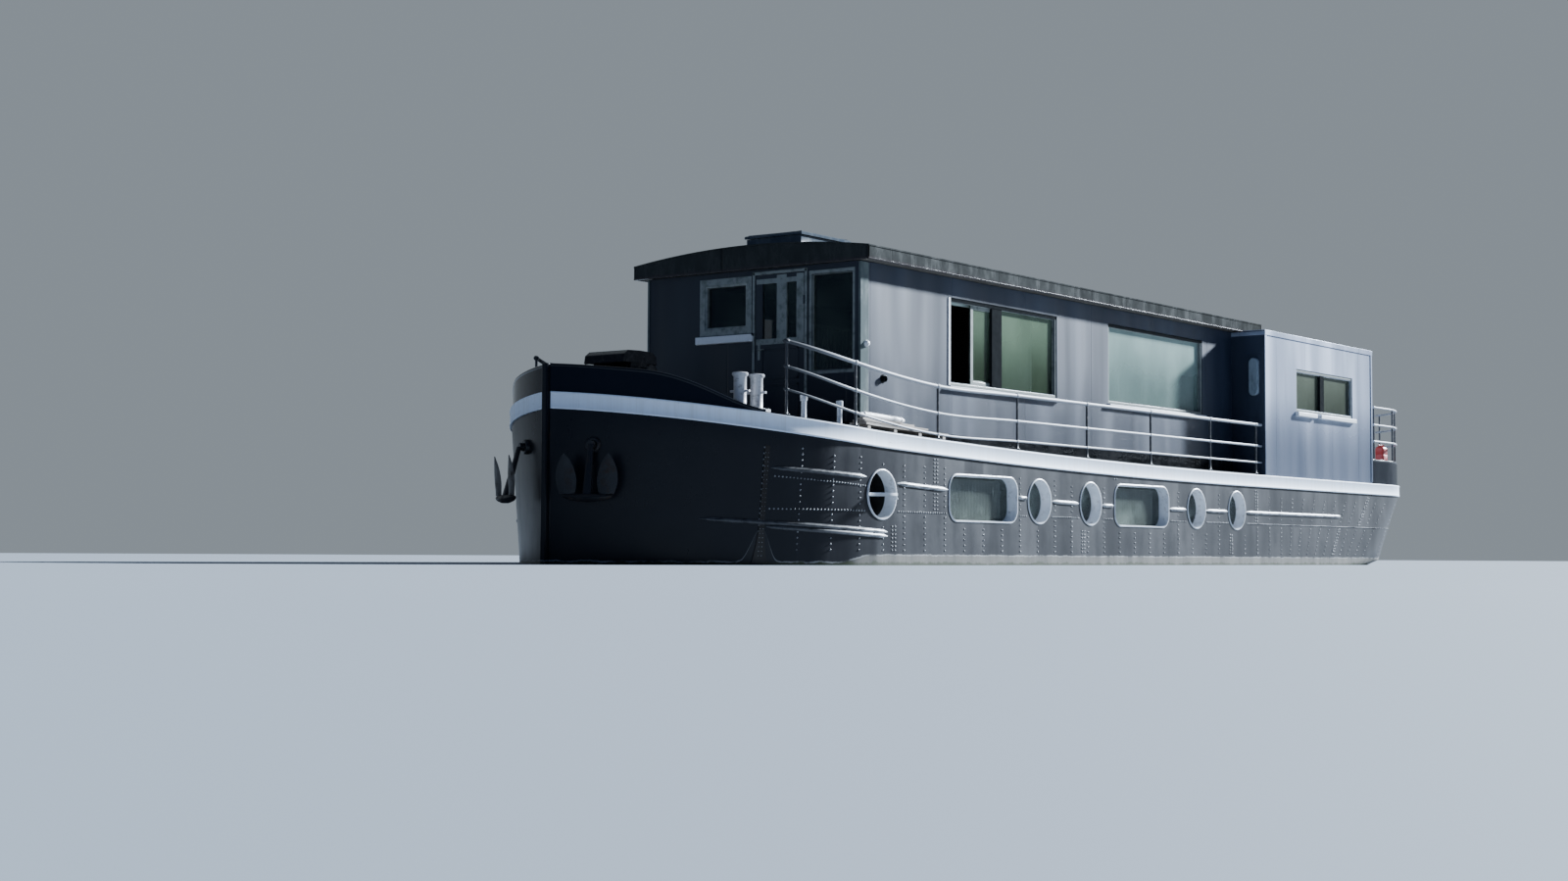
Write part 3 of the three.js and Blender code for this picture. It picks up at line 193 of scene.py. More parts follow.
FLOOR_HALF = 150.0
floor_paint = Paint("floor_paint", Roughness=0.85)
floor_tone = floor_paint.noise(0.05, 2.0)
floor_paint.set(Base_Color=floor_paint.mix(floor_tone, (0.23, 0.265, 0.31), (0.26, 0.295, 0.34)))
floor_mesh = bpy.data.meshes.new("floor")
corners = [(-1, -1), (1, -1), (1, 1), (-1, 1)]
floor_mesh.from_pydata([(FLOOR_HALF * x, FLOOR_HALF * y, WATER) for x, y in corners], [], [range(4)])
floor_mesh.materials.append(floor_paint.material)
placed("floor", floor_mesh)

world = bpy.data.worlds.new("surround")
bpy.context.scene.world = world
world.use_nodes = True
surround = Nodes(world.node_tree)
seen = surround.node("ShaderNodeTexCoord", output="Generated")
facing = surround.node(
    "ShaderNodeVectorMath", {"operation": "DOT_PRODUCT"}, {0: seen, 1: level + UP * 0.25}, "Value"
)
tint = surround.mix(facing.ramp(-0.5, 0.75), (0.045, 0.09, 0.23), (0.4, 0.46, 0.52))
background = world.node_tree.nodes["Background"].inputs
world.node_tree.links.new(tint.socket, background["Color"])
background["Strength"].default_value = 0.62

KEY_OFF_SIDE = math.radians(18.8)
KEY_UP = math.radians(24)
key = placed("key", bpy.data.lights.new("key", "SUN"))
key.data.energy = 19.5
key.data.angle = math.radians(4)
key.data.color = (0.79, 0.89, 1.0)
towards_key = Vector((-math.cos(KEY_OFF_SIDE), math.sin(KEY_OFF_SIDE), math.tan(KEY_UP)))
key.rotation_euler = towards_key.to_track_quat("Z", "Y").to_euler()


# The hull. Riveted steel plates, painted gloss black and weathered, run from the stem to a counter
# stern; the shape follows a few levels, each an arc at the bow and part of an ellipse at the stern.
HALF_BEAM = 2.5
STEM_HALF = 0.05
STERN_HALF = 0.06
SHEER_LOW = 1.565
BELT_HEIGHT = 0.212
BOW_END = 3.85
MIDDLE = 16.2  # abaft it, the stations of each level spread out to reach its own stern
STERN_TURN = 21.4
STERN_LENGTH = 2.2
LENGTH = 23.6
FRAME_STEP = 0.5
LAP_H = 0.71


def sheer(aft):
    """Height of the deck edge above the water."""
    slow = max(0.0, (15 - aft) / 15)
    quick = max(0.0, (4 - aft) / 4)
    return SHEER_LOW + 0.353 * slow**2.19 + 0.232 * quick**2


# Each level: height above the bottom (none for the deck edge), how far its side lies in, where it
# starts, the length of its bow, where its stern ends, the stern's length and how fine it is.
COLUMNS = ("z", "inset", "start", "bow", "end", "run", "fine")
lower_levels = [dict(zip(COLUMNS, row)) for row in (
    (0.0, 0.35, 0.35, 4.3, 20.6, 4.3, 1.7),
    (0.047, 0.175, 0.175, 4.25, 20.68, 4.35, 1.7),
    (0.102, 0.102, 0.102, 4.2, 20.75, 4.4, 1.7),
    (0.175, 0.047, 0.047, 4.15, 20.8, 4.45, 1.65),
    (0.35, 0.0, 0.0, 4.05, 20.9, 4.5, 1.6),
    (0.8, 0.0, 0.0, 3.85, 20.95, 4.5, 1.5),
)]
counter, topside, deck_line = (dict(zip(COLUMNS, row)) for row in (
    (0.8, 0.0, 0.0, 3.85, 22.5, 4.2, 1.0),
    (1.0, 0.0, 0.0, 3.8, 23.15, 3.2, 1.0),
    (None, 0.0, 0.0, 3.4, LENGTH, STERN_LENGTH, 1.0),
))


def edge(line, u):
    """Where a level is at station u: how far aft, and half its breadth."""
    half = HALF_BEAM - line["inset"]
    stern = line["end"] - line["run"]
    if u <= MIDDLE:
        aft = max(u, line["start"])
        short = line["bow"] - min(line["bow"], aft - line["start"])
        radius = (line["bow"] ** 2 + half**2) / (2 * half)
        return aft, max(STEM_HALF, half - radius + math.sqrt(max(0, radius**2 - short**2)))
    if u <= STERN_TURN:
        share = (u - MIDDLE) / (STERN_TURN - MIDDLE)
        return MIDDLE + (stern - MIDDLE) * share, half
    angle = math.radians(90 * (u - STERN_TURN) / STERN_LENGTH)
    breadth = half * math.cos(angle) ** line["fine"]
    return stern + line["run"] * math.sin(angle), max(STERN_HALF, breadth)


def edge_point(line, u, below=0.0):
    aft, y = edge(line, u)
    h = sheer(aft) - below if line["z"] is None else line["z"] - WATER
    return at(aft, y, h)


def side(u, h):
    """A point on the port side at station u and a height above the water."""
    low = edge_point(topside, u)
    high = edge_point(deck_line, u, BELT_HEIGHT)
    share = (h - (low.z - WATER)) / (high.z - low.z)
    return low.lerp(high, min(1.0, share))


def outward(out, u):
    """A direction square to the side, turned to point away from the boat."""
    out = out.normalized()
    return out if out.y > 0 or (u > 23 and out.x < 0) else -out


def side_out(u, h):
    """The direction square out from the side there."""
    along = side(u + 0.02, h) - side(u - 0.02, h)
    return outward(along.cross(side(u, h + 0.02) - side(u, h - 0.02)), u)


def circle(count, radius=1.0):
    """Points spaced evenly round a circle."""
    angles = [2 * math.pi * k / count for k in range(count)]
    return [(radius * math.cos(a), radius * math.sin(a)) for a in angles]


def spread(first, last, steps):
    """Evenly spaced numbers, both ends among them."""
    return [first + (last - first) * k / steps for k in range(steps + 1)]


def upright_ring(aft, y0, y1, h0, h1):
    return [at(aft, y0, h0), at(aft, y1, h0), at(aft, y1, h1), at(aft, y0, h1)]


def mirrored(p):
    return Vector((p[0], -p[1], p[2]))


class Shape:
    """The points and faces of a piece, gathered before it becomes a mesh."""

    def __init__(self):
        self.points = []
        self.faces = []
        self.finishes = []

    def face(self, corners, finish=0):
        self.faces.append(tuple(corners))
        self.finishes.append(finish)

    def skin(self, rings, finish=0, looped=False):
        """A skin over rings of points; its ends are capped, or its last ring joins its first."""
        count = len(rings[0])
        base = len(self.points)
        self.points += [tuple(p) for ring in rings for p in ring]
        for r in range(len(rings) if looped else len(rings) - 1):
            this = base + r * count
            after = base + (r + 1) % len(rings) * count
            for k in range(count):
                nxt = (k + 1) % count
                self.face((this + k, this + nxt, after + nxt, after + k), finish)
        if not looped:
            self.face(range(base + count - 1, base - 1, -1), finish)
            last = base + (len(rings) - 1) * count
            self.face(range(last, last + count), finish)
        return self

    def block(self, aft0, aft1, y0, y1, h0, h1, finish=0):
        return self.skin([upright_ring(aft, y0, y1, h0, h1) for aft in (aft0, aft1)], finish)

    def bar(self, place, section, ends, finish=0):
        """A straight bar: place gives a point for an end and the two numbers of a section's corner."""
        return self.skin([[place(end, *corner) for corner in section] for end in ends], finish)

    def moulding(self, loops):
        """A bar with one section all round a loop, from the loops that its corners run along."""
        return self.skin(list(zip(*loops)), looped=True)

    def tube(self, path, radius, sides=12, finish=0, looped=False):
        """A round bar along a path; radius is one number or one for each point."""
        radii = radius if isinstance(radius, list) else [radius] * len(path)
        rings = []
        aside = None
        for i, place in enumerate(path):
            before = path[i - 1] if i or looped else path[0]
            after = path[(i + 1) % len(path)] if i + 1 < len(path) or looped else path[-1]
            run = (after - before).normalized()
            aside = run.orthogonal() if aside is None else aside - run * aside.dot(run)
            aside.normalize()
            up = run.cross(aside)
            rings.append([place + (aside * c + up * s) * radii[i] for c, s in circle(sides)])
        return self.skin(rings, finish, looped=looped)

    def turned(self, foot, axis, profile, sides=24, finish=0):
        """A round piece on an axis, from pairs of distance along it and radius."""
        axis = axis.normalized()
        aside = axis.orthogonal().normalized()
        up = axis.cross(aside)
        return self.skin([
            [foot + axis * reach + (aside * c + up * s) * radius for c, s in circle(sides)]
            for reach, radius in profile
        ], finish)

    def both_sides(self):
        """Adds the same again on the other side of the centreline."""
        count = len(self.points)
        self.points += [tuple(mirrored(p)) for p in self.points]
        for corners, finish in list(zip(self.faces, self.finishes)):
            self.face([i + count for i in reversed(corners)], finish)
        return self

    def piece(self, name, *paints, body="boat", instead=(), bevel=0.0, sharp=35):
        mesh = bpy.data.meshes.new(name)
        mesh.from_pydata(self.points, [], self.faces)
        for paint in paints:
            mesh.materials.append(paint.material)
        mesh.polygons.foreach_set("material_index", self.finishes)
        edit = bmesh.new()
        edit.from_mesh(mesh)
        bmesh.ops.recalc_face_normals(edit, faces=edit.faces)
        edit.to_mesh(mesh)
        edit.free()
        mesh.shade_smooth()
        mesh.set_sharp_from_angle(angle=math.radians(sharp))
        made = placed(name, mesh)
        if bevel:
            rounding = made.modifiers.new("rounded_edges", "BEVEL")
            rounding.width = bevel
            rounding.segments = 2
            rounding.limit_method = "ANGLE"
            rounding.angle_limit = math.radians(40)
        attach(made, body)
        if instead:
            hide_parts(*instead)
        return made


STRAP_AFT = 1.78


def hull_paint(name, albedo, chalk, dull=0.28):
    """Black gloss on plates: tone by plate and frame bay, streaks, rust, scum at the water, and chalky
    wear that fades out towards the bow, partly painted shade.
    """
    paint = Paint(name, "hull_paint", Specular_IOR_Level=0.22)
    aft = STEM - paint.x
    up = paint.z - WATER
    bay = math.floor(aft / FRAME_STEP + 0.5)
    spot = paint.node("ShaderNodeCombineXYZ", inputs={0: bay, 1: up > LAP_H, 2: paint.y > 0.0})
    tone = paint.node("ShaderNodeTexWhiteNoise", inputs={"Vector": spot})
    streaks = paint.noise(1.7, 4.0, 0.6, (2.0, 2.0, 0.3))
    cloud = paint.noise(0.9, 4.0, 0.6)
    worn = (tone * 0.18 + streaks * 0.4 + cloud * 0.6).ramp(0.42, 0.95)
    # Painted shade and light: the chalky wear is faint on the bow and strong aft, so the bow is darker
    # and the side aft lighter.
    colour = paint.mix(worn * aft.ramp(1.5, 5.5, 0.12, 0.8), albedo, chalk)
    grime = paint.noise(7.0, 5.0, 0.65, (1.0, 1.0, 0.5))
    # Round the butt strap the pale band's top rises in a bell, and its edge line fades there.
    at_strap = abs(aft - STRAP_AFT).ramp(0.02, 0.3, 0.42, 0.0)
    pale_band_top = aft.ramp(2.9, 3.5, 0.04, 0.135) + at_strap * at_strap * 2.2
    above = up - pale_band_top + (grime - 0.5) * 0.05
    low = above.ramp(-0.03, 0.02, 1.0, 0.0) * aft.ramp(2.9, 3.5, 0.1, 1.0)
    colour = paint.mix(low * (streaks.ramp(0.2, 0.7) * 0.5 + 0.35), colour, (0.2, 0.19, 0.165))
    line = abs(above).ramp(0.003, 0.016, 1.0, 0.0) * streaks.ramp(0.3, 0.6) * (1 - at_strap * 2.2)
    colour = paint.mix(line * 0.7, colour, (0.4, 0.4, 0.39))
    weed = (up + (grime - 0.5) * 0.12 + (streaks - 0.5) * 0.06).ramp(0.015, 0.05, 1.0, 0.0)
    colour = paint.mix(weed * 0.85, colour, (0.03, 0.04, 0.014))
    rusty = paint.noise(3.1, 6.0, 0.7, (1.5, 1.5, 0.6)).ramp(0.68, 0.76)
    colour = paint.mix(rusty * 0.6, colour, (0.08, 0.035, 0.016))
    buckled = (aft * (2 * math.pi / FRAME_STEP)).sine()
    paint.bump(buckled * 0.25 + cloud * 0.9 + grime * 0.05, 0.007)
    gloss = aft.ramp(1.5, 5.5, dull - 0.06, dull + 0.06)
    rough = worn * 0.16 + grime * 0.06 + low * 0.3 + rusty * 0.3 + gloss
    return paint.set(Base_Color=colour, Roughness=rough)


def coated(name, slot, base, rough, depth, *layers, **fixed):
    """A base coat under layers of dirt, wear or rust. Each layer: its noise, the band it is cut to,
    its colour, how far that covers, and how much the layer lifts and dulls the surface."""
    paint = Paint(name, slot, Roughness=rough, **fixed)
    tone, lift, dull = base, 0.0, rough
    for cloud, band, colour, cover, rise, matt in layers:
        mask = paint.noise(*cloud).ramp(*band) if band else paint.noise(*cloud)
        tone = paint.mix(mask * cover, tone, colour) if colour else tone
        lift = lift + mask * rise if rise else lift
        dull = dull + mask * matt if matt else dull
    paint.bump(lift, depth)
    paint.set(Base_Color=tone)
    return paint if dull is rough else paint.set(Roughness=dull)


plates = hull_paint("black_plates", (0.004, 0.005, 0.009), (0.056, 0.058, 0.066), dull=0.3)
# Painted shade: the faces cut into the hull for windows and hatch wells are near black, for the dark
# inside.
inside_painted_shade = coated(
    "inside_painted_shade", None, (0.008, 0.008, 0.008), 0.7, 0.0006,
    ((9.0, 4.0), (0.45, 0.8), (0.03, 0.028, 0.025), 1.0, 1.0, 0.2),
)
bow_us = [BOW_END * (k / 40) ** 1.4 for k in range(41)]
stations = (
    bow_us + spread(BOW_END, MIDDLE, 24)[1:] + spread(MIDDLE, STERN_TURN, 8)[1:]
    + spread(STERN_TURN, STERN_TURN + STERN_LENGTH, 30)[1:]
)


def hull_rings(rows):
    """A closed ring at each station, from the levels' points on the port side."""
    return [[*row, *[mirrored(p) for p in reversed(row)]] for row in rows]


def upper_row(u):
    knee = edge_point(topside, u)
    under_belt = edge_point(deck_line, u, BELT_HEIGHT)
    between = [knee.lerp(under_belt, k / 6) for k in range(7)]
    return [edge_point(counter, u), *between, edge_point(deck_line, u)]


upper = Shape().skin(hull_rings([upper_row(u) for u in stations]))
upper = upper.piece("hull_plates", plates, inside_painted_shade, instead=("hull",))
bottom_red = coated(
    "bottom_red", None, (0.13, 0.028, 0.02), 0.6, 0.004,
    ((4.0, 6.0, 0.65), (0.4, 0.7), (0.05, 0.05, 0.03), 1.0, 1.0, 0.3),
)
bottom = Shape().skin(hull_rings([[edge_point(line, u) for line in lower_levels] for u in stations]))
stern_tube = [(0, 0.065), (0.634, 0.065), (0.634, 0.05)]
bottom.turned(at(20.6, 0, -0.48), Vector((-1, 0, 0)), stern_tube)
bottom.turned(at(21.95, 0, -0.02), -UP, [(0, 0.09), (0.1, 0.09), (0.11, 0.08)])
bottom.piece("hull_bottom", bottom_red, sharp=50)

# The hull's windows: portholes and two long rounded ones on each side, cut through the plates. Each
# has a narrow raised rim of white steel, and a white lining that runs back to the glass; the pockets
# behind it are near black, painted shade of the dark inside.
WINDOW_H = 0.93
WINDOW_HIGH = 0.68
RIM = 0.024
POCKET = 0.5
PANE_Y = HALF_BEAM - 0.15
PANE_THICK = 0.008
PANE_INSET = 0.035
ROUND_CORNER = 0.22
OPEN_WINDOW = 3.73
# Each window: its centre aft of the stem and its width.
HULL_WINDOWS = [
    (3.73, 0.68), (6.26, 1.84), (7.8, 0.68), (9.33, 0.68), (10.99, 1.84), (12.9, 0.68), (14.43, 0.68)
]
# The rim's section: how far in from the opening's outline, and how far out from the centreline.
RIM_SECTION = [
    (0.004, 2.46), (0.004, 2.506), (0.008, 2.512), (0.02, 2.514), (0.025, 2.508),
    (0.04, 2.34), (0.022, 2.34), (0.022, 2.46),
]
# Each hatch: its front and rear, half its breadth, its rise above the deck and its well's depth.
HATCHES = {"fore": (2.25, 3.05, 0.4, 0.25, 0.7), "aft": (21.55, 22.35, 0.4, 0.15, 0.6)}
HATCH_WALL = 0.03


def rounded(width, height, radius, steps):
    """Points round a rounded rectangle, or a circle where the radius is half its height."""
    w, h = width / 2 - radius, height / 2 - radius
    points = []
    for turn, (x, y) in enumerate([(w, h), (-w, h), (-w, -h), (w, -h)]):
        for angle in spread(math.pi / 2 * turn, math.pi / 2 * (turn + 1), steps):
            points.append((x + radius * math.cos(angle), y + radius * math.sin(angle)))
    return points


def window_ring(aft, width, inset, y):
    corner = ROUND_CORNER if width > WINDOW_HIGH else width / 2
    shape = rounded(width - 2 * inset, WINDOW_HIGH - 2 * inset, corner - inset, 14)
    shape = [p for i, p in enumerate(shape) if math.dist(p, shape[i - 1]) > 1e-6]
    return [at(aft + a, y, WINDOW_H + h) for a, h in shape]


def carve(made, shape, *paints, sharp):
    """Cuts a shape out of a piece for good."""
    tool = shape.piece("carving_tool", *paints)
    cut = made.modifiers.new("carved", "BOOLEAN")
    cut.object = tool
    cut.solver = "EXACT"
    mesh = bpy.data.meshes.new_from_object(made.evaluated_get(bpy.context.evaluated_depsgraph_get()))
    made.modifiers.clear()
    made.data = mesh
    bpy.data.objects.remove(tool)
    mesh.set_sharp_from_angle(angle=math.radians(sharp))


openings = Shape()
rims = Shape()
hull_panes = Shape()
for aft, width in HULL_WINDOWS:
    openings.skin([window_ring(aft, width, RIM, y) for y in (HALF_BEAM - POCKET, HALF_BEAM + 0.1)], 1)
    rims.moulding([window_ring(aft, width, inset, y) for inset, y in RIM_SECTION])
    if aft != OPEN_WINDOW:
        faces = (PANE_Y - PANE_THICK, PANE_Y)
        hull_panes.skin([window_ring(aft, width, PANE_INSET, y) for y in faces])
openings.both_sides()
for front, rear, half, rise, depth in HATCHES.values():
    inside = (front + HATCH_WALL, rear - HATCH_WALL, HATCH_WALL - half, half - HATCH_WALL)
    openings.block(*inside, sheer(rear) - depth, sheer(front) + 0.1, 1)
carve(upper, openings, plates, inside_painted_shade, sharp=35)
rim_white = coated(
    "rim_white", "white_paint", (0.72, 0.75, 0.8), 0.32, 0.001,
    ((14.0, 5.0, 0.7), (0.52, 0.72), (0.3, 0.27, 0.23), 0.7, 1.0, 0.3),
)
rims.both_sides().piece("window_rims", rim_white, sharp=50)


def tinted_glass(name, rough, cloud, band, tints, film):
    """Glass in two tints, by a film of dirt that also hides what is behind."""
    glass = Paint(name, "glass", Roughness=rough, IOR=1.5)
    mist = glass.noise(*cloud).ramp(*band)
    return glass.set(Base_Color=glass.mix(mist, *tints), Alpha=mist * film[0] + film[1])


hull_tints = ((0.09, 0.1, 0.085), (0.2, 0.24, 0.21))
hull_glass = tinted_glass(
    "hull_glass", 0.06, (1.3, 3.0, 0.6), (0.35, 0.75), hull_tints, (0.25, 0.32)
)
hull_panes.both_sides().piece("hull_window_glass", hull_glass)


def slats(shape, aft0, aft1, y, h0, h1, wide=0.085):
    """A blind of upright slats, each turned a little out of the window's plane."""
    count = round((aft1 - aft0) / (wide * 0.92))
    step = (aft1 - aft0) / count
    lean = 0.02
    thick = 0.003
    section = [(0.0, -lean), (0.5, 0.008), (1.04, lean)]
    section += [(along, out - thick) for along, out in reversed(section)]
    for front in spread(aft0, aft1, count)[:-1]:
        shape.bar(lambda h, along, out: at(front + step * along, y + out, h), section, (h0, h1))


blind_cloth = coated(
    "blind_slats", None, (0.3, 0.35, 0.35), 0.7, 0.0004,
    ((3.0, 3.0, 0.55, (4, 4, 0.3)), None, (0.45, 0.5, 0.49), 1.0, 0.0, 0.0),
    ((220.0, 2.0), None, None, 0.0, 1.0, 0.0),
)
hull_blinds = Shape()
for aft, width in HULL_WINDOWS:
    if width > WINDOW_HIGH:
        reach = width / 2 - 0.08
        slats(hull_blinds, aft - reach, aft + reach, HALF_BEAM - 0.27, 0.65, 1.21)
hull_blinds.both_sides().piece("hull_window_blinds", blind_cloth)

# The foremost porthole stands open: its glass, in a white ring, turns on two pins at mid height and
# lies level in the opening.
SASH_RADIUS = 0.262
sash_middle = at(OPEN_WINDOW, 2.43, WINDOW_H)
sash = Shape().moulding([
    [sash_middle + Vector((-c, s, h)) for c, s in circle(48, SASH_RADIUS + r)]
    for r, h in ((0.0, -0.017), (0.0, 0.017), (-0.03, 0.017), (-0.03, -0.017))
])
for near, far in ((0.295, 0.24), (-0.24, -0.295)):
    sash.tube([sash_middle + Vector((near, 0, 0)), sash_middle + Vector((far, 0, 0))], 0.012)
latch = sash_middle + Vector((-0.16, 0.19, -0.013))
sash.turned(latch, -UP, [(0, 0.012), (0.03, 0.012), (0.034, 0.022), (0.05, 0.022)], 12)
sash.both_sides().piece("open_sash_ring", rim_white, sharp=40)
sash_glass = Shape().turned(sash_middle - UP * 0.003, UP, [(0, 0.236), (0.006, 0.236)], 48)
sash_glass.both_sides().piece("open_sash_glass", hull_glass)

# The rivets are round-headed, in single rows at the frames, double rows where plates butt and a
# close row along the lap between the two strakes of plates, with a short row above it at the bow.
RIVET = 0.014
FRAMES_FROM = 1.75
FRAME_PITCH = 0.075
LAP_PITCH = 0.055
BUTT_PITCH = 0.052
BUTT_STEP = 5.1
BUTT_HALF = 0.035
PLATES_FOOT = 0.2
# The butts of each strake of plates: the foremost one, and the lowest and highest rivets.
BUTTS = [(5.02, LAP_H + 0.05, LENGTH), (4.0, PLATES_FOOT, LAP_H - 0.03)]


def in_window(u, h, margin):
    high = WINDOW_HIGH / 2 + margin
    return abs(h - WINDOW_H) < high and any(
        abs(u - aft) < width / 2 + margin for aft, width in HULL_WINDOWS
    )


def rivet_at(shape, u, h, size=RIVET):
    foot = side(u, h)
    out = side_out(u, h)
    aside = out.cross(UP).normalized()
    up = aside.cross(out)
    shape.skin([
        [foot + out * rise + (aside * c + up * s) * radius for c, s in circle(6)]
        for rise, radius in ((-0.003, size), (size * 0.45, size * 0.8), (size * 0.7, size * 0.3))
    ])


def pitched(first, end, pitch):
    """Numbers from first on, a pitch apart, that stop short of the end."""
    return [first + pitch * k for k in range(math.ceil((end - first) / pitch))]


rivets = Shape()
for u in pitched(FRAMES_FROM, 23.3, FRAME_STEP):
    for h in pitched(PLATES_FOOT, sheer(u) - BELT_HEIGHT - 0.155, FRAME_PITCH):
        if not in_window(u, h, 0.03) and abs(h - LAP_H) > 0.05:
            rivet_at(rivets, u, h)
for first, low_h, high_h in BUTTS:
    for butt in (first + BUTT_STEP * k for k in range(4)):
        for u in (butt - BUTT_HALF, butt + BUTT_HALF):
            for h in pitched(low_h, min(high_h, sheer(u) - BELT_HEIGHT - 0.05), BUTT_PITCH):
                if not in_window(u, h, 0.03):
                    rivet_at(rivets, u, h)
for u in pitched(FRAMES_FROM, 22.9, LAP_PITCH):
    if not in_window(u, LAP_H, 0.019):
        rivet_at(rivets, u, LAP_H)
for k in range(30):
    rivet_at(rivets, 1.9 + k * 0.05, 1.12 - k * 0.003)
rivet_worn = coated(
    "rivet_heads", "hull_paint", (0.05, 0.052, 0.058), 0.3, 0.0008,
    ((3.0, 5.0, 0.7), (0.3, 0.65), (0.34, 0.34, 0.35), 1.0, 1.0, 0.2),
    Metallic=0.3,
)
rivets.both_sides().piece("rivets", rivet_worn, sharp=60)

# Rubbing strakes: half-round bars welded along the side between the windows, worn bright along the
# crest, but hardly at the bow: painted shade. A pair of them lies low on the bow.
STRAKE_R = 0.032
# Each run: its two ends aft of the stem and their heights.
STRAKES = [
    (1.84, 3.38, 1.225, 1.15), (4.085, 5.325, 1.085, 1.035), (7.195, 7.445, 0.975, 0.965),
    (8.155, 8.975, 0.94, 0.925), (9.685, 10.055, 0.915, 0.912), (11.925, 12.545, 0.905, 0.905),
    (13.255, 14.075, 0.905, 0.905), (14.785, 19.2, 0.905, 0.905), (1.1, 3.86, 0.575, 0.438),
    (1.84, 3.86, 0.484, 0.382),
]
crest = Paint("strake_crest", "hull_paint", Metallic=0.25)
crest_wear = crest.noise(14.0, 5.0, 0.7, (0.3, 1, 1)).ramp(0.3, 0.6)
# Painted shade: little bare crest shows forward of about 2.4 m aft of the stem, where the bow is in
# shade.
crest_bare_and_shade = crest_wear * (STEM - crest.x).ramp(2.4, 4.0, 0.1, 1.0)
crest.bump(crest_wear, 0.001)
crest_tone = crest.mix(crest_bare_and_shade, (0.012, 0.013, 0.017), (0.5, 0.51, 0.53))
crest.set(Base_Color=crest_tone, Roughness=crest_wear * 0.15 + 0.28)
strakes = Shape()
for front, rear, front_h, rear_h in STRAKES:
    count = max(6, round((rear - front) / 0.12))
    rings = []
    for share in spread(0.0, 1.0, count):
        size = STRAKE_R * min(1.0, min(share, 1 - share) * count * 0.9 + 0.25)
        u = front + (rear - front) * share
        h = front_h + (rear_h - front_h) * share
        out = side_out(u, h)
        foot = side(u, h) - out * 0.006
        angles = spread(-math.pi / 2, math.pi / 2, 8)
        rings.append([foot + (out * (math.cos(a) * 1.15) + UP * math.sin(a)) * size for a in angles])
    strakes.skin(rings)
strakes.both_sides().piece("rubbing_strakes", crest, sharp=50)

# A butt strap stands upright on each side of the bow, where the plates meet, rusted where its
# paint has gone. The stem is a flat bar from the deck's bulwark to under the water.
rusted = hull_paint("rusted_black", (0.014, 0.011, 0.01), (0.14, 0.12, 0.11))
strap_out = (-0.01, 0.012, 0.012, -0.01)
strap_rows = []
for h in (0.03 + k * 0.098 for k in range(16)):
    wide = 0.034 + 0.075 * max(0.0, 1 - h / 0.5) ** 1.6
    across_strap = (-wide, -wide * 0.9, wide * 0.9, wide)
    out = side_out(STRAP_AFT, h)
    strap_rows.append([side(STRAP_AFT + s, h) + out * o for s, o in zip(across_strap, strap_out)])
Shape().skin(strap_rows).both_sides().piece("butt_straps", rusted, sharp=30)
strap_rivets = Shape()
for k in range(24):
    for s in (-0.018, 0.018):
        rivet_at(strap_rivets, STRAP_AFT + s, 0.12 + k * 0.056, 0.017)
strap_rivets.both_sides().piece("butt_strap_rivets", rivet_worn, sharp=60)
stem = Shape().block(-0.06, 0.002, -0.044, 0.044, -0.5, 2.5)
stem.piece("stem_post", plates, instead=("stem_bar",), bevel=0.012)

# The white belt: a flat plate band round the whole boat below the deck edge, with a half-round bead
# along its top and bottom. Its paint is chalky, scraped and streaked with rust.
BELT_THICK = 0.024
BEAD_HIGH = 0.03
BEAD_OUT = 0.006
STREAKS = (5.0, 5.0, 0.65, (2.5, 2.5, 0.12))
belt_white = coated(
    "belt_white", "white_paint", (0.78, 0.87, 1.0), 0.5, 0.0015,
    (STREAKS, (0.4, 0.8), (0.63, 0.65, 0.68), 0.6, 0.0, 0.0),
    (STREAKS, None, None, 0.0, 0.4, 0.15),
    ((5.5, 6.0, 0.75, (0.35, 0.35, 2.2)), (0.62, 0.7), (0.35, 0.35, 0.36), 0.45, 0.6, 0.15),
    ((6.0, 6.0, 0.7, (1, 1, 0.5)), (0.7, 0.78), (0.25, 0.12, 0.06), 0.6, 0.0, 0.0),
)


def edge_out(u):
    """The level direction square out from the deck edge."""
    along = edge_point(deck_line, min(u + 0.02, LENGTH)) - edge_point(deck_line, max(u - 0.02, 0.0))
    along.z = 0
    return outward(UP.cross(along), u)


def beside(u, out, h):
    """A place beside the deck edge at station u, some way out from it."""
    foot = edge_point(deck_line, u)
    return Vector((foot.x, foot.y, WATER)) + edge_out(u) * out + UP * h


def belt_section(u):
    """Pairs of how far out from the deck edge and how high above the water."""
    h = sheer(edge(deck_line, u)[0])
    low = h - BELT_HEIGHT
    bead = [
        (BELT_THICK + BEAD_OUT * math.sin(math.pi * share), BEAD_HIGH * share)
        for share in spread(0.0, 1.0, 4)
    ]
    lower, upper = ([(out, foot + rise) for out, rise in bead] for foot in (low, h - BEAD_HIGH))
    return [(-0.004, low), *lower, *upper, (-0.004, h)]


belt = Shape().skin([[beside(u, *pair) for pair in belt_section(u)] for u in stations])
belt.both_sides().piece("white_belt", belt_white, instead=("sheer_belt",), sharp=40)

# The bulwarks: plate rails that stand on the deck edge, high round the bow and level round the
# stern, each with a round bar along its top and knees inside.
bulwark_black = hull_paint("bulwark_black", (0.008, 0.01, 0.015), (0.026, 0.029, 0.036), dull=0.08)
BOW_BULWARK_END = 1.75
STERN_BULWARK_FROM = 20.52
STERN_TOP = 2.04


def bow_top(u):
    aft = edge(deck_line, u)[0]
    fall = min(1.0, max(0.0, (aft - 0.56) / (BOW_BULWARK_END - 0.56)))
    return sheer(aft) + 0.35 - 0.31 * fall * fall * (3 - 2 * fall)


def stern_top(u):
    return STERN_TOP


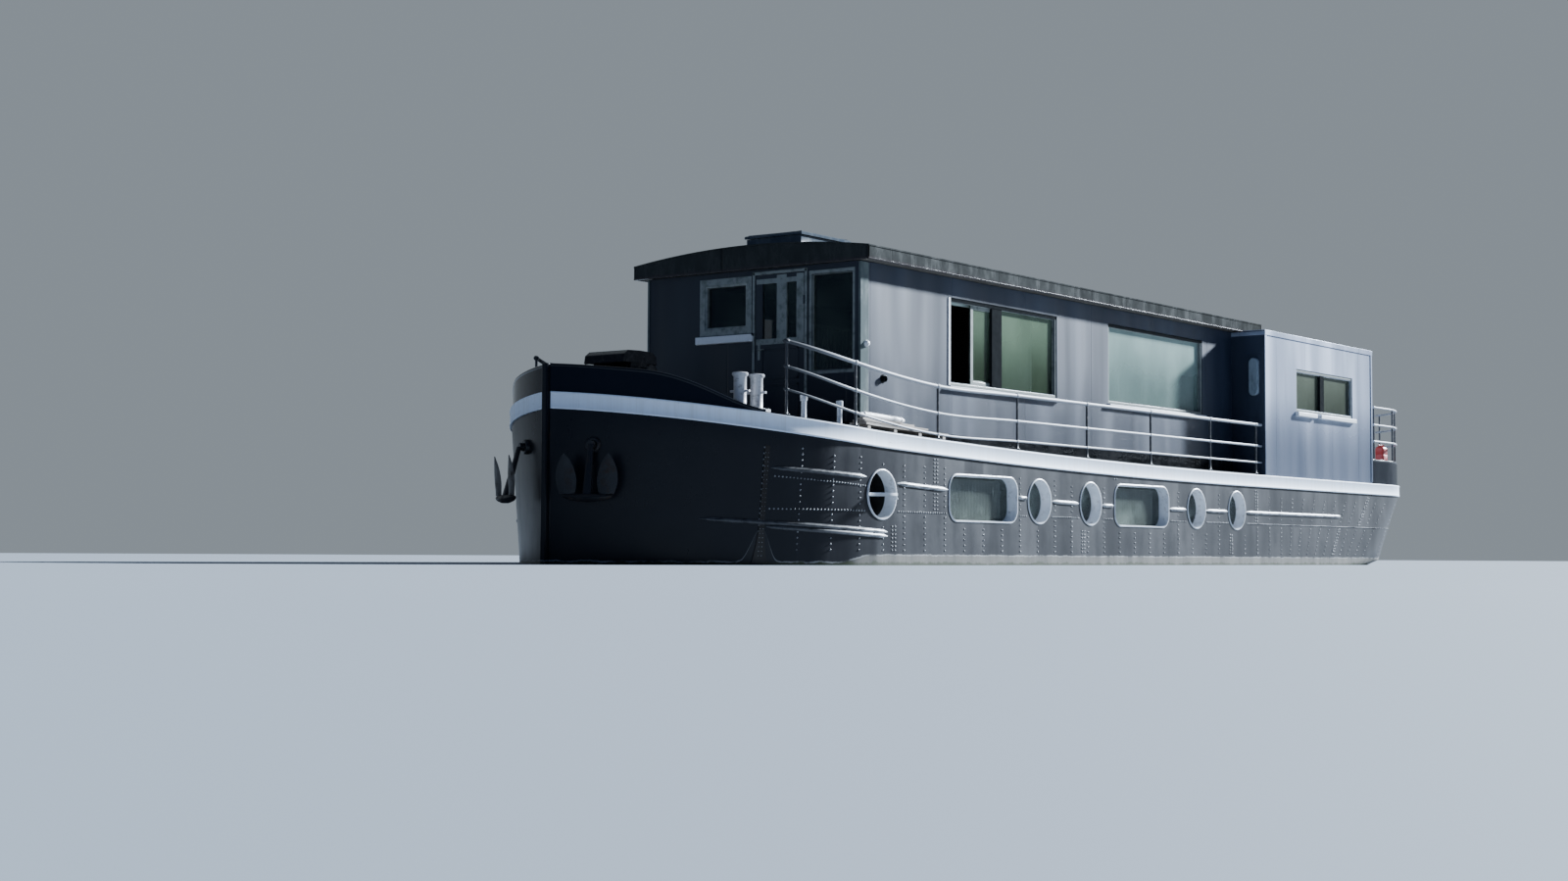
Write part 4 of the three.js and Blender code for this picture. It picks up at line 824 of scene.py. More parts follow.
def bulwark(places, top):
    shape = Shape()
    deck = {u: sheer(edge(deck_line, u)[0]) for u in places}
    rings = []
    for u in places:
        low, high = deck[u], top(u) - 0.012
        corners = ((-0.05, low), (-0.012, low), (-0.012, high), (-0.05, high))
        rings.append([beside(u, *corner) for corner in corners])
    shape.skin(rings)
    shape.tube([beside(u, -0.031, top(u) - 0.02) for u in places], 0.026)
    for u in places[2 :: max(1, len(places) // 7)]:
        inward = -edge_out(u)
        aside = inward.cross(UP) * 0.005
        base = beside(u, -0.05, deck[u] + 0.022)
        high = beside(u, -0.05, top(u) - 0.05)
        if high.z - base.z > 0.12:
            corners = (base, base + inward * 0.13, high + inward * 0.02, high)
            shape.skin([[p - aside for p in corners], [p + aside for p in corners]])
    return shape.both_sides()


bow_bulwark_us = [BOW_BULWARK_END * (k / 30) ** 1.2 for k in range(31)]
bow_bulwark = bulwark(bow_bulwark_us, bow_top)
bow_bulwark.piece("bow_bulwark_plates", bulwark_black, instead=("bow_bulwark",))
stern_bulwark = bulwark(spread(STERN_BULWARK_FROM, LENGTH, 40), stern_top)
stern_bulwark.piece("stern_bulwark_plates", bulwark_black, instead=("stern_bulwark",))

# The anchors hang from lipped hawse holes, one on each bow: a forged shank, a broad rounded crown
# and two pointed flukes, in rough black paint over rust.
iron = coated(
    "black_iron", "iron", (0.014, 0.015, 0.018), 0.35, 0.003,
    ((30.0, 6.0, 0.7), None, None, 0.0, 1.0, 0.2),
    ((5.0, 6.0, 0.7), (0.5, 0.68), (0.06, 0.034, 0.02), 0.45, 0.6, 0.35),
    Metallic=0.3,
)
HAWSE = 0.23
hawse_seat = beside(HAWSE, 0.0, 1.48)
hawse_out = edge_out(HAWSE)
along_bow = Vector((-hawse_out.y, hawse_out.x, 0))
crown = hawse_seat + hawse_out * 0.27 - UP * 0.62
shank_top = hawse_seat + hawse_out * 0.1
lip = [
    (-0.2, 0.095), (0.02, 0.095), (0.036, 0.088), (0.04, 0.07), (0.034, 0.052), (-0.02, 0.05),
    (-0.15, 0.04),
]
hawse = Shape().turned(hawse_seat, hawse_out, lip, 28)
hawse.both_sides().piece("hawse_lips", iron, sharp=60)


def off(p, along, up, out):
    """A place some way along the bow, up and out from another."""
    return p + along_bow * along + UP * up + hawse_out * out


anchor = Shape().tube([hawse_seat + hawse_out * 0.0405, shank_top], 0.05, 14)
bevelled = [(-1, -0.6), (-0.6, -1), (0.6, -1), (1, -0.6), (1, 0.6), (0.6, 1), (-0.6, 1), (-1, 0.6)]
shank = []
for t in spread(0.0, 1.0, 8):
    wide, thick = 0.032 + 0.02 * t, 0.026 + 0.012 * t
    shank.append([off(shank_top.lerp(crown, t), x * wide, 0, y * thick) for x, y in bevelled])
anchor.skin(shank)
crown_rings = []
for t in spread(-1.0, 1.0, 24):
    swell = math.sqrt(max(0.04, 1 - t * t))
    middle = off(crown, t * 0.32, -0.02 - 0.025 * (1 - t * t), 0)
    crown_rings.append([off(middle, 0, s * 0.055 * swell, c * 0.085 * swell) for c, s in circle(10)])
anchor.skin(crown_rings)
for sign in (-1, 1):
    rings = []
    for t in spread(0.0, 1.0, 12):
        half = 0.125 * math.sin(math.pi * min(1.0, 0.22 + 0.78 * t)) ** 0.8 + 0.006
        thick = 0.02 * (1 - t) + 0.006
        middle = off(crown, sign * (0.25 + 0.03 * t), 0.5 * t, 0.01 + 0.05 * t * t)
        leaf = ((-1, 0), (-0.4, 1), (0.4, 1), (1, 0), (0.4, -1), (-0.4, -1))
        rings.append([off(middle, half * x, 0, thick * y) for x, y in leaf])
    anchor.skin(rings)
anchor.piece("port_bow_anchor", iron, instead=("port_anchor",), sharp=40)
anchor.points = [mirrored(p) for p in anchor.points]
anchor.piece("starboard_bow_anchor", iron, instead=("starboard_anchor",), sharp=40)

# The decks are steel plate in grey grit paint, scuffed and rusty in patches. The four low posts on
# the fore deck have white sleeves with a collar near the top.
deck_grey = coated(
    "deck_grit", "deck_paint", (0.055, 0.058, 0.062), 0.7, 0.0016,
    ((160.0, 2.0, 0.8), None, None, 0.0, 0.5, 0.15),
    ((1.6, 5.0, 0.65), (0.42, 0.72), (0.15, 0.15, 0.148), 1.0, 0.3, 0.0),
    ((4.0, 6.0, 0.7), (0.64, 0.74), (0.12, 0.06, 0.03), 0.6, 0.0, 0.0),
)


def finish_nodes(paint, *names):
    for name in names:
        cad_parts[name].material_slots[0].material = paint.material


finish_nodes(deck_grey, "fore_deck", "port_side_deck", "starboard_side_deck", "aft_deck")
sleeve = [
    (0, 0.038), (0.006, 0.034), (0.245, 0.034), (0.252, 0.047), (0.322, 0.047), (0.326, 0.042),
    (0.326, 0.001),
]
post_sleeves = Shape()
for aft, y in ((2.56, 2.08), (3.18, 2.2)):
    post_sleeves.turned(at(aft, y, sheer(aft) + 0.026), UP, sleeve, 20)
post_sleeves.both_sides().piece("low_post_sleeves", rim_white, sharp=40)

# The main cabin is a welded steel box on a black coaming. Its walls are a dark blue-grey gloss over
# plates that have buckled a little between their upright stiffeners.
coaming_black = coated(
    "coaming_black", "hull_paint", (0.006, 0.007, 0.009), 0.12, 0.002,
    ((3.0, 5.0, 0.65, (1, 1, 2.5)), (0.4, 0.75), (0.028, 0.028, 0.03), 1.0, 1.0, 0.06),
    ((5.0, 6.0, 0.7), (0.68, 0.76), (0.06, 0.028, 0.015), 0.5, 0.0, 0.0),
    Specular_IOR_Level=0.06,
)
finish_nodes(coaming_black, "cabin_coaming")


def panel_paint(name, slot, tint, weathered, seam_step, metal=0.0, low=0.2):
    """Gloss paint on buckled steel panels, with upright seams, rain streaks and a darker foot, which is
    painted shade.
    """
    paint = Paint(name, slot, Metallic=metal)
    along = paint.x + paint.y
    waves = paint.noise(0.8, 1.0, 0.4, (1.7, 1.7, 0.3))
    streaks = paint.noise(2.2, 2.0, 0.5, (1.0, 1.0, 0.16)).ramp(0.4, 0.75)
    foot_edge_noise = paint.noise(3.0, 4.0, 0.6)
    # Painted shade: the colour darkens towards the foot of the wall, by low, with a wavy edge.
    foot = (paint.z - (WATER + 1.9) + (foot_edge_noise - 0.5) * 0.05).ramp(0.0, 1.3, 1.0, 0.0)
    seam = abs((along / seam_step) % 1.0 - 0.5).ramp(0.0, 0.012 / seam_step, 1.0, 0.0)
    tone = paint.mix(streaks * 0.22 + waves.ramp(0.4, 0.7) * 0.5, tint, weathered)
    tone = paint.mix(foot * low, tone, tuple(c * 0.6 for c in tint))
    tone = paint.mix(seam * 0.35, tone, tuple(c * 0.45 for c in tint))
    paint.bump(waves + streaks * 0.02 - seam * 0.04, 0.07)
    rough = waves * 0.12 + streaks * 0.05 - foot * (low * 0.28) + 0.34
    return paint.set(Base_Color=tone, Roughness=rough)


wall_blue = panel_paint(
    "cabin_blue_grey", "wall_paint", (0.018, 0.025, 0.044), (0.05, 0.066, 0.105), 2.05
)
# Painted shade: the front wall gets a darker copy of the wall paint, as it faces away from the light.
front_wall_painted_shade = panel_paint(
    "cabin_front_blue", "wall_paint", (0.008, 0.011, 0.019), (0.018, 0.024, 0.038), 2.05
)
finish_nodes(wall_blue, "port_cabin_wall", "starboard_cabin_wall", "aft_cabin_front_wall")
finish_nodes(front_wall_painted_shade, "cabin_front_wall")

# The aft cabin is as wide as the hull. Its sides are clad in silver-painted panels with upright
# seams, duller and greyer low down; the greyer colour there is painted shade.
BOX_FRONT = 15.585
BOX_REAR = 20.465
silver = panel_paint(
    "silver_panels", "silver_panel", (0.25, 0.29, 0.385), (0.54, 0.595, 0.73), 1.24, metal=0.3, low=0.9
)
finish_nodes(silver, "port_aft_cabin_wall", "starboard_aft_cabin_wall", "aft_cabin_rear_wall")
box_edges = Shape()
for y0, y1 in ((2.497, 2.512), (-2.512, -2.497)):
    for a0, a1 in ((15.59, 15.66), (20.39, 20.46)):
        box_edges.block(a0, a1, y0, y1, 1.6, 4.05)
for a0, a1, y0, y1 in (
    (BOX_FRONT, 15.602, -2.512, 2.512), (20.448, BOX_REAR, -2.512, 2.512),
    (BOX_FRONT, BOX_REAR, 2.495, 2.515), (BOX_FRONT, BOX_REAR, -2.515, -2.495),
):
    box_edges.block(a0, a1, y0, y1, 4.035, 4.125)
box_edges.piece("aft_cabin_corner_strips", silver, bevel=0.004)

# The windows. Each has a pale aluminium frame set in the wall, with a thick white sill under it. The
# aft cabin's and the forward ones are in two panes with an upright between them.
frame_grey = coated(
    "frame_aluminium", None, (0.27, 0.295, 0.275), 0.33, 0.0002,
    ((9.0, 5.0, 0.65), (0.4, 0.75), (0.12, 0.135, 0.125), 1.0, 0.0, 0.25),
    ((150.0, 2.0, 0.6), None, None, 0.0, 1.0, 0.0),
    Metallic=0.2,
)
sill_white = coated(
    "sill_white", "white_paint", (0.9, 0.91, 0.92), 0.4, 0.0008,
    ((8.0, 5.0, 0.7, (1, 1, 0.3)), (0.5, 0.76), (0.5, 0.48, 0.45), 0.5, 1.0, 0.3),
)
mullion_black = coated(
    "mullion_black", None, (0.008, 0.009, 0.01), 0.12, 0.0006,
    ((12.0, 4.0, 0.65), None, (0.024, 0.026, 0.027), 1.0, 1.0, 0.1),
    Specular_IOR_Level=0.06,
)
WALL_Y = 1.87
BOX_Y = 2.5
# Each side window: its ends, its sill and head, and its uprights' sides.
SIDE_WINDOWS = [(6.32, 9.42, 2.56, 3.83, ((7.53, 7.81),)), (11.06, 14.43, 2.58, 3.87, ())]
BOX_WINDOW = (16.93, 19.5, 2.76, 3.53, ((18.02, 18.2),))
SILL_OVER = 0.045


def on_side(wall_y):
    """Places on a side wall: along it, out from its face, and above the water."""
    return lambda along, out, h: at(along, wall_y + out, h)


def on_front(wall_aft):
    """Places on a wall that faces ahead: across it, out from its face, and above the water."""
    return lambda along, out, h: at(wall_aft - out, along, h)


def slab(shape, place, s0, s1, d0, d1, h0, h1, finish=0):
    """A bar on a wall, between two places along it, two depths and two heights."""
    return shape.bar(place, ((d0, h0), (d1, h0), (d1, h1), (d0, h1)), (s0, s1), finish)


def window_frame(shape, place, s0, s1, h0, h1, posts=(), wide=0.058, proud=-0.012, back=-0.075):
    """Four mitred bars with a glazing bead, and any uprights."""
    section = [
        (0.0, back), (0.0, proud), (wide * 0.75, proud), (wide * 0.8, proud - 0.014),
        (wide, proud - 0.02), (wide, back),
    ]
    shape.moulding([
        [place(s0 + i, d, h0 + i), place(s1 - i, d, h0 + i), place(s1 - i, d, h1 - i),
         place(s0 + i, d, h1 - i)]
        for i, d in section
    ])
    for post in posts:
        slab(shape, place, *post, back, proud - 0.002, h0 + wide * 0.9, h1 - wide * 0.9, 1)


def sill_bar(shape, place, s0, s1, h, thick=0.05, deep=0.068):
    """A sill with a sloping top and a rounded nose."""
    section = [
        (-0.03, 0.004), (deep - 0.012, -0.006), (deep, -0.016), (deep, 0.008 - thick),
        (deep - 0.008, -thick), (-0.03, -thick),
    ]
    shape.bar(place, [(d, h + rise) for d, rise in section], (s0, s1))


frames = Shape()
sills = Shape()
port_wall = on_side(WALL_Y)
for s0, s1, h0, h1, posts in SIDE_WINDOWS:
    window_frame(frames, port_wall, s0, s1, h0, h1, posts)
    sill_bar(sills, port_wall, s0 - SILL_OVER, s1 + SILL_OVER, h0)
    # Painted shade: a black strip over each side frame's head stands for the eave's shadow on it.
    slab(frames, port_wall, s0 + 0.002, s1 - 0.002, -0.07, -0.008, h1 - 0.052, h1 - 0.002, 1)
slab(frames, port_wall, 6.31, 6.36, -0.078, 0.012, 2.565, 3.825, 2)
s0, s1, h0, h1, posts = BOX_WINDOW
window_frame(frames, on_side(BOX_Y), s0, s1, h0, h1, posts)
for s0, s1 in ((s0 - SILL_OVER, 17.72), (17.9, s1 + SILL_OVER)):
    sill_bar(sills, on_side(BOX_Y), s0, s1, h0, 0.085, 0.07)
# The sliding pane of the forward window has a frame of its own, drawn back from the opening.
sliding = on_side(WALL_Y - 0.045)
window_frame(frames, sliding, 7.0, 7.79, 2.6, 3.79, wide=0.09, proud=-0.008, back=-0.034)
frames.both_sides().piece("side_window_frames", frame_grey, mullion_black, sill_white, bevel=0.003)
sills.both_sides().piece("side_window_sills", sill_white, bevel=0.004)


def window_glass(name, side_name, low, high, haze):
    """Tinted glass, paler towards the top, with a film of dirt in slow waves."""
    glass = Paint(name, "glass", Roughness=0.05, IOR=1.5)
    upper = (glass.z - (WATER + 2.6)).ramp(0.1, 1.1)
    wavy = glass.noise(0.9, 3.0, 0.5, (1.0, 1.0, 0.6)).ramp(0.3, 0.75)
    tone = glass.mix(upper * 0.6 + wavy * 0.4, low, high)
    glass.set(Base_Color=tone, Alpha=upper * 0.25 + wavy * 0.2 + haze)
    finish_nodes(glass, f"port_{side_name}_pane", f"starboard_{side_name}_pane")


window_glass("green_window_glass", "forward", (0.034, 0.054, 0.03), (0.17, 0.24, 0.16), 0.45)
window_glass("pale_window_glass", "midship", (0.16, 0.23, 0.205), (0.4, 0.53, 0.48), 0.4)
window_glass("olive_window_glass", "aft_cabin", (0.05, 0.06, 0.042), (0.13, 0.15, 0.11), 0.5)

# The cabins' blinds: upright slats of pale mint cloth that hang inside from head rails, drawn across
# the midship windows and part of the others.
blind_mint = coated(
    "mint_slats", None, (0.5, 0.64, 0.57), 0.65, 0.0003,
    ((2.5, 3.0, 0.55, (3, 3, 0.3)), None, (0.76, 0.86, 0.8), 1.0, 0.0, 0.0),
    ((240.0, 2.0), None, None, 0.0, 1.0, 0.0),
)
BLIND_BACK = 0.17
BLIND_DROP = 0.07
cabin_blinds = Shape()
# Each blind: the wall, its slats' ends, their foot, the window's head, and its head rail's ends.
BLINDS = [
    (WALL_Y, 11.1, 14.4, 2.6, 3.87, 11.08, 14.42), (WALL_Y, 8.02, 8.9, 2.6, 3.83, 6.4, 9.34),
    (BOX_Y, 17.0, 17.75, 2.8, 3.53, 17.0, 19.43),
]
for wall_y, a0, a1, foot, head, _, _ in BLINDS:
    slats(cabin_blinds, a0, a1, wall_y - BLIND_BACK, foot, head - BLIND_DROP, 0.11)
for wall_y, _, _, _, head, a0, a1 in BLINDS:
    y = wall_y - BLIND_BACK
    cabin_blinds.block(a0, a1, y - 0.025, y + 0.025, head - BLIND_DROP, head - BLIND_DROP + 0.04)
cabin_blinds.both_sides().piece("cabin_blinds", blind_mint)

# The front wall holds a window with a thick sill, the door with a narrow light, and a fixed dark
# pane to port of it. A grey angle strip covers each of the wall's corners.
FRONT_AFT = 4.12
front_wall = on_front(FRONT_AFT)
front_frames = Shape()
window_frame(front_frames, front_wall, -0.91, 0.02, 3.22, 4.03, wide=0.12, proud=0.008)
front_sill = Shape()
sill_bar(front_sill, front_wall, -0.95, 0.06, 3.225, 0.12, 0.062)
front_sill.piece("front_window_sill", sill_white, bevel=0.008)
window_frame(front_frames, front_wall, 1.0, 1.78, 2.6, 4.03, wide=0.06, proud=-0.01)
for y in (0.058, 0.962):
    slab(front_frames, front_wall, y - 0.02, y + 0.02, -0.01, 0.012, 1.94, 4.07)
slab(front_frames, front_wall, 0.04, 0.98, -0.01, 0.012, 4.032, 4.075)
front_frames.piece("front_window_frames", frame_grey, bevel=0.003)
STRIP_SECTION = [
    (4.108, 1.85), (4.108, 1.884), (4.3, 1.884), (4.3, 1.868), (4.122, 1.868), (4.122, 1.85)
]
corner_strips = Shape()
for sign in (1, -1):
    corner_strips.bar(lambda h, aft, y: at(aft, sign * y, h), STRIP_SECTION, (1.945, 4.1))
strip_grey = coated(
    "strip_grey", None, (0.09, 0.115, 0.115), 0.3, 0.0008,
    ((6.0, 5.0, 0.7, (1, 1, 0.3)), (0.4, 0.75), (0.2, 0.23, 0.22), 1.0, 1.0, 0.2),
    Specular_IOR_Level=0.15,
)
corner_strips.piece("cabin_corner_strips", strip_grey, bevel=0.003)
dark_tints = ((0.012, 0.018, 0.014), (0.045, 0.06, 0.045))
dark_glass = tinted_glass("dark_glass", 0.05, (1.2, 3.0), (0.35, 0.8), dark_tints, (0.1, 0.7))
finish_nodes(dark_glass, "front_dark_pane", "front_window_pane", "front_door_pane", "rear_door_pane")


def lever_set(shape, place, s, h):
    """A door's back plate, lever and key barrel on one face."""
    corners = ((-0.022, -0.11), (0.022, -0.11), (0.022, 0.11), (-0.022, 0.11))
    shape.bar(lambda out, a, b: place(s + a, out, h + b), corners, (-0.002, 0.006))
    spindle = place(s, 0.045, h + 0.03)
    shape.tube([place(s, 0, h + 0.03), spindle], 0.009, 10)
    shape.tube([spindle, place(s + 0.03, 0.052, h + 0.03), place(s + 0.12, 0.05, h + 0.03)], 0.009, 10)
    shape.tube([place(s, 0, h - 0.06), place(s, 0.014, h - 0.06)], 0.012, 12)


# The front door opens outwards on two hinges. It has two moulded panels low down, two pale stiles
# beside a narrow light, and a lever handle on each face.
DOOR_THICK = 0.05
REAR_WALL = 20.45
door_paint = panel_paint(
    "door_blue_grey", "wall_paint", (0.014, 0.018, 0.026), (0.04, 0.046, 0.06), 3.0
)
finish_nodes(door_paint, "front_door", "rear_door")
front_trim = Shape()
for s0, s1, proud, h0, h1 in (
    (0.46, 0.63, 0.006, 3.09, 4.015), (0.8, 0.93, 0.006, 3.09, 4.015),
    (0.1, 0.93, 0.004, 3.05, 3.13), (0.1, 0.93, 0.004, 3.9, 3.97),
):
    slab(front_trim, front_wall, s0, s1, -0.056, proud, h0, h1)
for h0, h1 in ((2.02, 2.5), (2.56, 3.0)):
    for s0, s1, g0, g1 in (
        (0.19, 0.84, h0, h0 + 0.03), (0.19, 0.84, h1 - 0.03, h1), (0.19, 0.22, h0, h1),
        (0.81, 0.84, h0, h1),
    ):
        slab(front_trim, front_wall, s0, s1, -0.002, 0.009, g0, g1, 1)
for face_aft in (FRONT_AFT, FRONT_AFT + DOOR_THICK):
    lever_set(front_trim, on_front(face_aft), 0.15, 2.95)
front_trim.piece("front_door_trim", frame_grey, door_paint, body="front_door", bevel=0.003)


# The rear door, in the aft cabin's rear wall, is a plain leaf with a framed light, a kick plate and
# the same lever.
def on_rear(along, out, h):
    return at(REAR_WALL + out, along, h)


rear_trim = Shape()
window_frame(rear_trim, on_rear, -0.3, 0.3, 2.9, 3.73, wide=0.05, proud=0.01, back=-0.052)
slab(rear_trim, on_rear, -0.36, 0.36, -0.002, 0.004, 1.83, 2.1)
lever_set(rear_trim, on_rear, -0.34, 2.8)
rear_trim.piece("rear_door_trim", frame_grey, body="rear_door", bevel=0.002)
rear_frame = Shape()
for s0, s1, h0 in ((-0.46, -0.402, 1.81), (0.402, 0.46, 1.81), (-0.46, 0.46, 3.832)):
    slab(rear_frame, on_rear, s0, s1, -0.01, 0.008, h0, 3.89)
rear_frame.piece("rear_door_frame", frame_grey, bevel=0.003)

# The main roof is a cambered steel deck under a grey-brown gritty coating, with a flashing of short
# boards round its edge that overhangs the walls; it laps over the front of the aft cabin's roof.
ROOF_FRONT = 4.02
ROOF_REAR = 16.4
ROOF_HALF = 2.07
ROOF_LOW = 4.11
FASCIA = 0.19
CREST = 0.15
BOARD = 0.56
coating = coated(
    "roof_coating", "roof_coating", (0.1, 0.085, 0.068), 0.8, 0.002,
    ((120.0, 2.0, 0.8), None, None, 0.0, 0.5, 0.1),
    ((0.9, 5.0, 0.65), (0.35, 0.7), (0.175, 0.155, 0.128), 1.0, 0.4, 0.0),
    ((2.6, 6.0, 0.7), (0.58, 0.72), (0.07, 0.08, 0.04), 0.45, 0.0, 0.0),
)
fascia_paint = Paint("fascia_boards", "roof_coating", Specular_IOR_Level=0.15)
board_at = (STEM - fascia_paint.x) / BOARD + fascia_paint.y * 0.4
board_tone = fascia_paint.row_tone(math.floor(board_at))
joint = abs(board_at % 1.0 - 0.5).ramp(0.485, 0.498)
fascia_stain = fascia_paint.noise(5.0, 5.0, 0.65, (1, 1, 0.4)).ramp(0.35, 0.75)
fascia_foot = (fascia_paint.z - (WATER + ROOF_LOW + 0.01)).ramp(0.0, 0.05, 1.0, 0.0)
fascia_tone = fascia_stain * 0.6 + board_tone * 0.4
fascia_tone = fascia_paint.mix(fascia_tone, (0.022, 0.024, 0.023), (0.044, 0.048, 0.045))
fascia_tone = fascia_paint.mix(fascia_foot * 0.4, fascia_tone, (0.05, 0.032, 0.038))
fascia_tone = fascia_paint.mix(joint * 0.7, fascia_tone, (0.01, 0.01, 0.01))
fascia_paint.bump(fascia_stain * 0.3 - joint, 0.004)
fascia_paint.set(Base_Color=fascia_tone, Roughness=fascia_stain * 0.12 + 0.22)


def camber(y):
    return CREST * (1 - (y / ROOF_HALF) ** 2)


roof = Shape()
across_steps = spread(-ROOF_HALF, ROOF_HALF, 28)
roof_edge = ROOF_HALF - 0.008
roof_section = [
    (max(-roof_edge, min(roof_edge, y)), ROOF_LOW + FASCIA + camber(y)) for y in across_steps
]
roof_section += [(roof_edge, ROOF_LOW + 0.01), (-roof_edge, ROOF_LOW + 0.01)]
roof.bar(at, roof_section, spread(ROOF_FRONT + 0.012, ROOF_REAR - 0.012, 30))
roof_piece = roof.piece("roof_deck", coating, instead=("main_roof",), sharp=30)
SKYLIGHT_FRONT, SKYLIGHT_REAR, SKYLIGHT_HALF, SKYLIGHT_WALL = 4.65, 5.8, 0.48, 0.04
well_half = SKYLIGHT_HALF - SKYLIGHT_WALL
well = Shape().block(
    SKYLIGHT_FRONT + SKYLIGHT_WALL, SKYLIGHT_REAR - SKYLIGHT_WALL, -well_half, well_half, 4.0, 4.8
)
carve(roof_piece, well, coating, sharp=30)
# The boards' section: how far out from the roof's edge, and how high above its foot.
FASCIA_SECTION = [
    (-0.02, 0.0), (0.004, 0.0), (0.006, 0.012), (0.0, 0.02), (0.0, 0.172), (0.008, 0.178),
    (0.008, 0.196), (-0.03, 0.2),
]
fascia = Shape()
for sign in (1, -1):
    fascia.bar(
        lambda aft, out, rise: at(aft, sign * (ROOF_HALF + out), ROOF_LOW + rise),
        FASCIA_SECTION, (ROOF_FRONT - 0.004, ROOF_REAR + 0.004),
    )
for end, sign in ((ROOF_FRONT, -1), (ROOF_REAR, 1)):
    fascia.skin([
        [at(end + sign * out, y, ROOF_LOW + rise + (camber(y) if rise > FASCIA / 2 else 0.0))
         for out, rise in FASCIA_SECTION]
        for y in across_steps
    ])
fascia.piece("roof_fascia", fascia_paint, sharp=30)
cap_half = 2.505
cap_section = [(y, 4.108 + 0.03 * (1 - (y / BOX_Y) ** 2)) for y in spread(-cap_half, cap_half, 16)]
roof_cap = Shape().bar(at, [*cap_section, (cap_half, 4.1), (-cap_half, 4.1)], (15.585, 20.46))
roof_cap.piece("aft_cabin_roof_coating", coating, sharp=30)
finish_nodes(coating, "aft_cabin_roof")

# The skylight stands on the crown of the roof: a flared steel coaming, and a low glazed hip on a
# frame that is hinged along its aft edge.
hip_grey = coated(
    "skylight_grey", "roof_coating", (0.055, 0.072, 0.095), 0.2, 0.001,
    ((4.0, 5.0, 0.65, (1, 1, 0.4)), (0.35, 0.75), (0.09, 0.11, 0.13), 1.0, 1.0, 0.15),
    Specular_IOR_Level=0.1,
)
hip_glass_tints = ((0.09, 0.12, 0.13), (0.25, 0.3, 0.3))
hip_glass = tinted_glass("hip_glass", 0.12, (3.0, 4.0), (0.3, 0.8), hip_glass_tints, (0.2, 0.6))
LID_LOW = 4.647
LID_HALF = 0.508
LID_FRONT, LID_REAR = 4.622, 5.828
RIDGE_H = 4.735
RIDGE_HALF = 0.16
RIDGE_FRONT, RIDGE_REAR = 4.95, 5.5
HINGE_AFT, HINGE_H = 5.86, 4.648
# The flashing's section: how far out from the coaming, and its height.
FLARE_SECTION = [
    (0.07, 4.41), (0.02, 4.5), (0.004, 4.56), (0.004, 4.64), (-0.045, 4.64), (-0.045, 4.3), (-0.02, 4.3)
]


def level_ring(a0, a1, half, h, grow=0.0):
    """The corners of a level rectangle over the centreline, grown all round."""
    a0, a1, half = a0 - grow, a1 + grow, half + grow
    return [at(a0, -half, h), at(a1, -half, h), at(a1, half, h), at(a0, half, h)]


def lid_loop(inset, rise):
    return level_ring(LID_FRONT, LID_REAR, LID_HALF, LID_LOW + rise, -inset)


flare = Shape().skin([
    level_ring(SKYLIGHT_FRONT, SKYLIGHT_REAR, SKYLIGHT_HALF, h, grow) for grow, h in FLARE_SECTION
], looped=True)
finish_nodes(hip_grey, "skylight_coaming")
flare.piece("skylight_flashing", hip_grey, sharp=25)
lid_rim = [(0.0, 0.0), (0.0, 0.03), (0.012, 0.042), (0.06, 0.046), (0.06, 0.0)]
lid = Shape().skin([lid_loop(*pair) for pair in lid_rim], looped=True)
ridge = level_ring(RIDGE_FRONT, RIDGE_REAR, RIDGE_HALF, RIDGE_H)
under_ridge = [p - UP * 0.006 for p in ridge]
hip_panes = [lid_loop(0.05, 0.034), ridge, under_ridge, lid_loop(0.05, 0.028)]
panes = Shape().skin(hip_panes, looped=True)
peaks = [p + UP * 0.004 for p in ridge]
for corner, peak in zip(lid_loop(0.04, 0.042), peaks):
    lid.tube([corner, peak], 0.014, 8)
for k in range(4):
    lid.tube([peaks[k], peaks[(k + 1) % 4]], 0.014, 8)
for share in (0.33, 0.67):
    for sign in (-1, 1):
        low = at(LID_FRONT + (LID_REAR - LID_FRONT) * share, sign * (LID_HALF - 0.04), LID_LOW + 0.042)
        high_aft = RIDGE_FRONT + (RIDGE_REAR - RIDGE_FRONT) * share
        lid.tube([low, at(high_aft, sign * RIDGE_HALF, RIDGE_H + 0.002)], 0.01, 8)
for y in (-0.288, 0.288):
    lid.tube([at(HINGE_AFT, y, HINGE_H), at(HINGE_AFT, y + 0.06, HINGE_H)], 0.014, 14)
    lid.block(SKYLIGHT_REAR, HINGE_AFT, y, y + 0.06, HINGE_H + 0.002, HINGE_H + 0.012)
lid.piece("skylight_lid_frame", hip_grey, body="skylight_lid", instead=("skylight_lid",))
panes.piece("skylight_lid_glass", hip_glass, body="skylight_lid", sharp=20)
lid_plate = Shape().block(4.96, 5.49, -0.15, 0.15, RIDGE_H - 0.004, RIDGE_H + 0.006)
lid_plate.piece("skylight_lid_crown", hip_glass, body="skylight_lid", bevel=0.002)

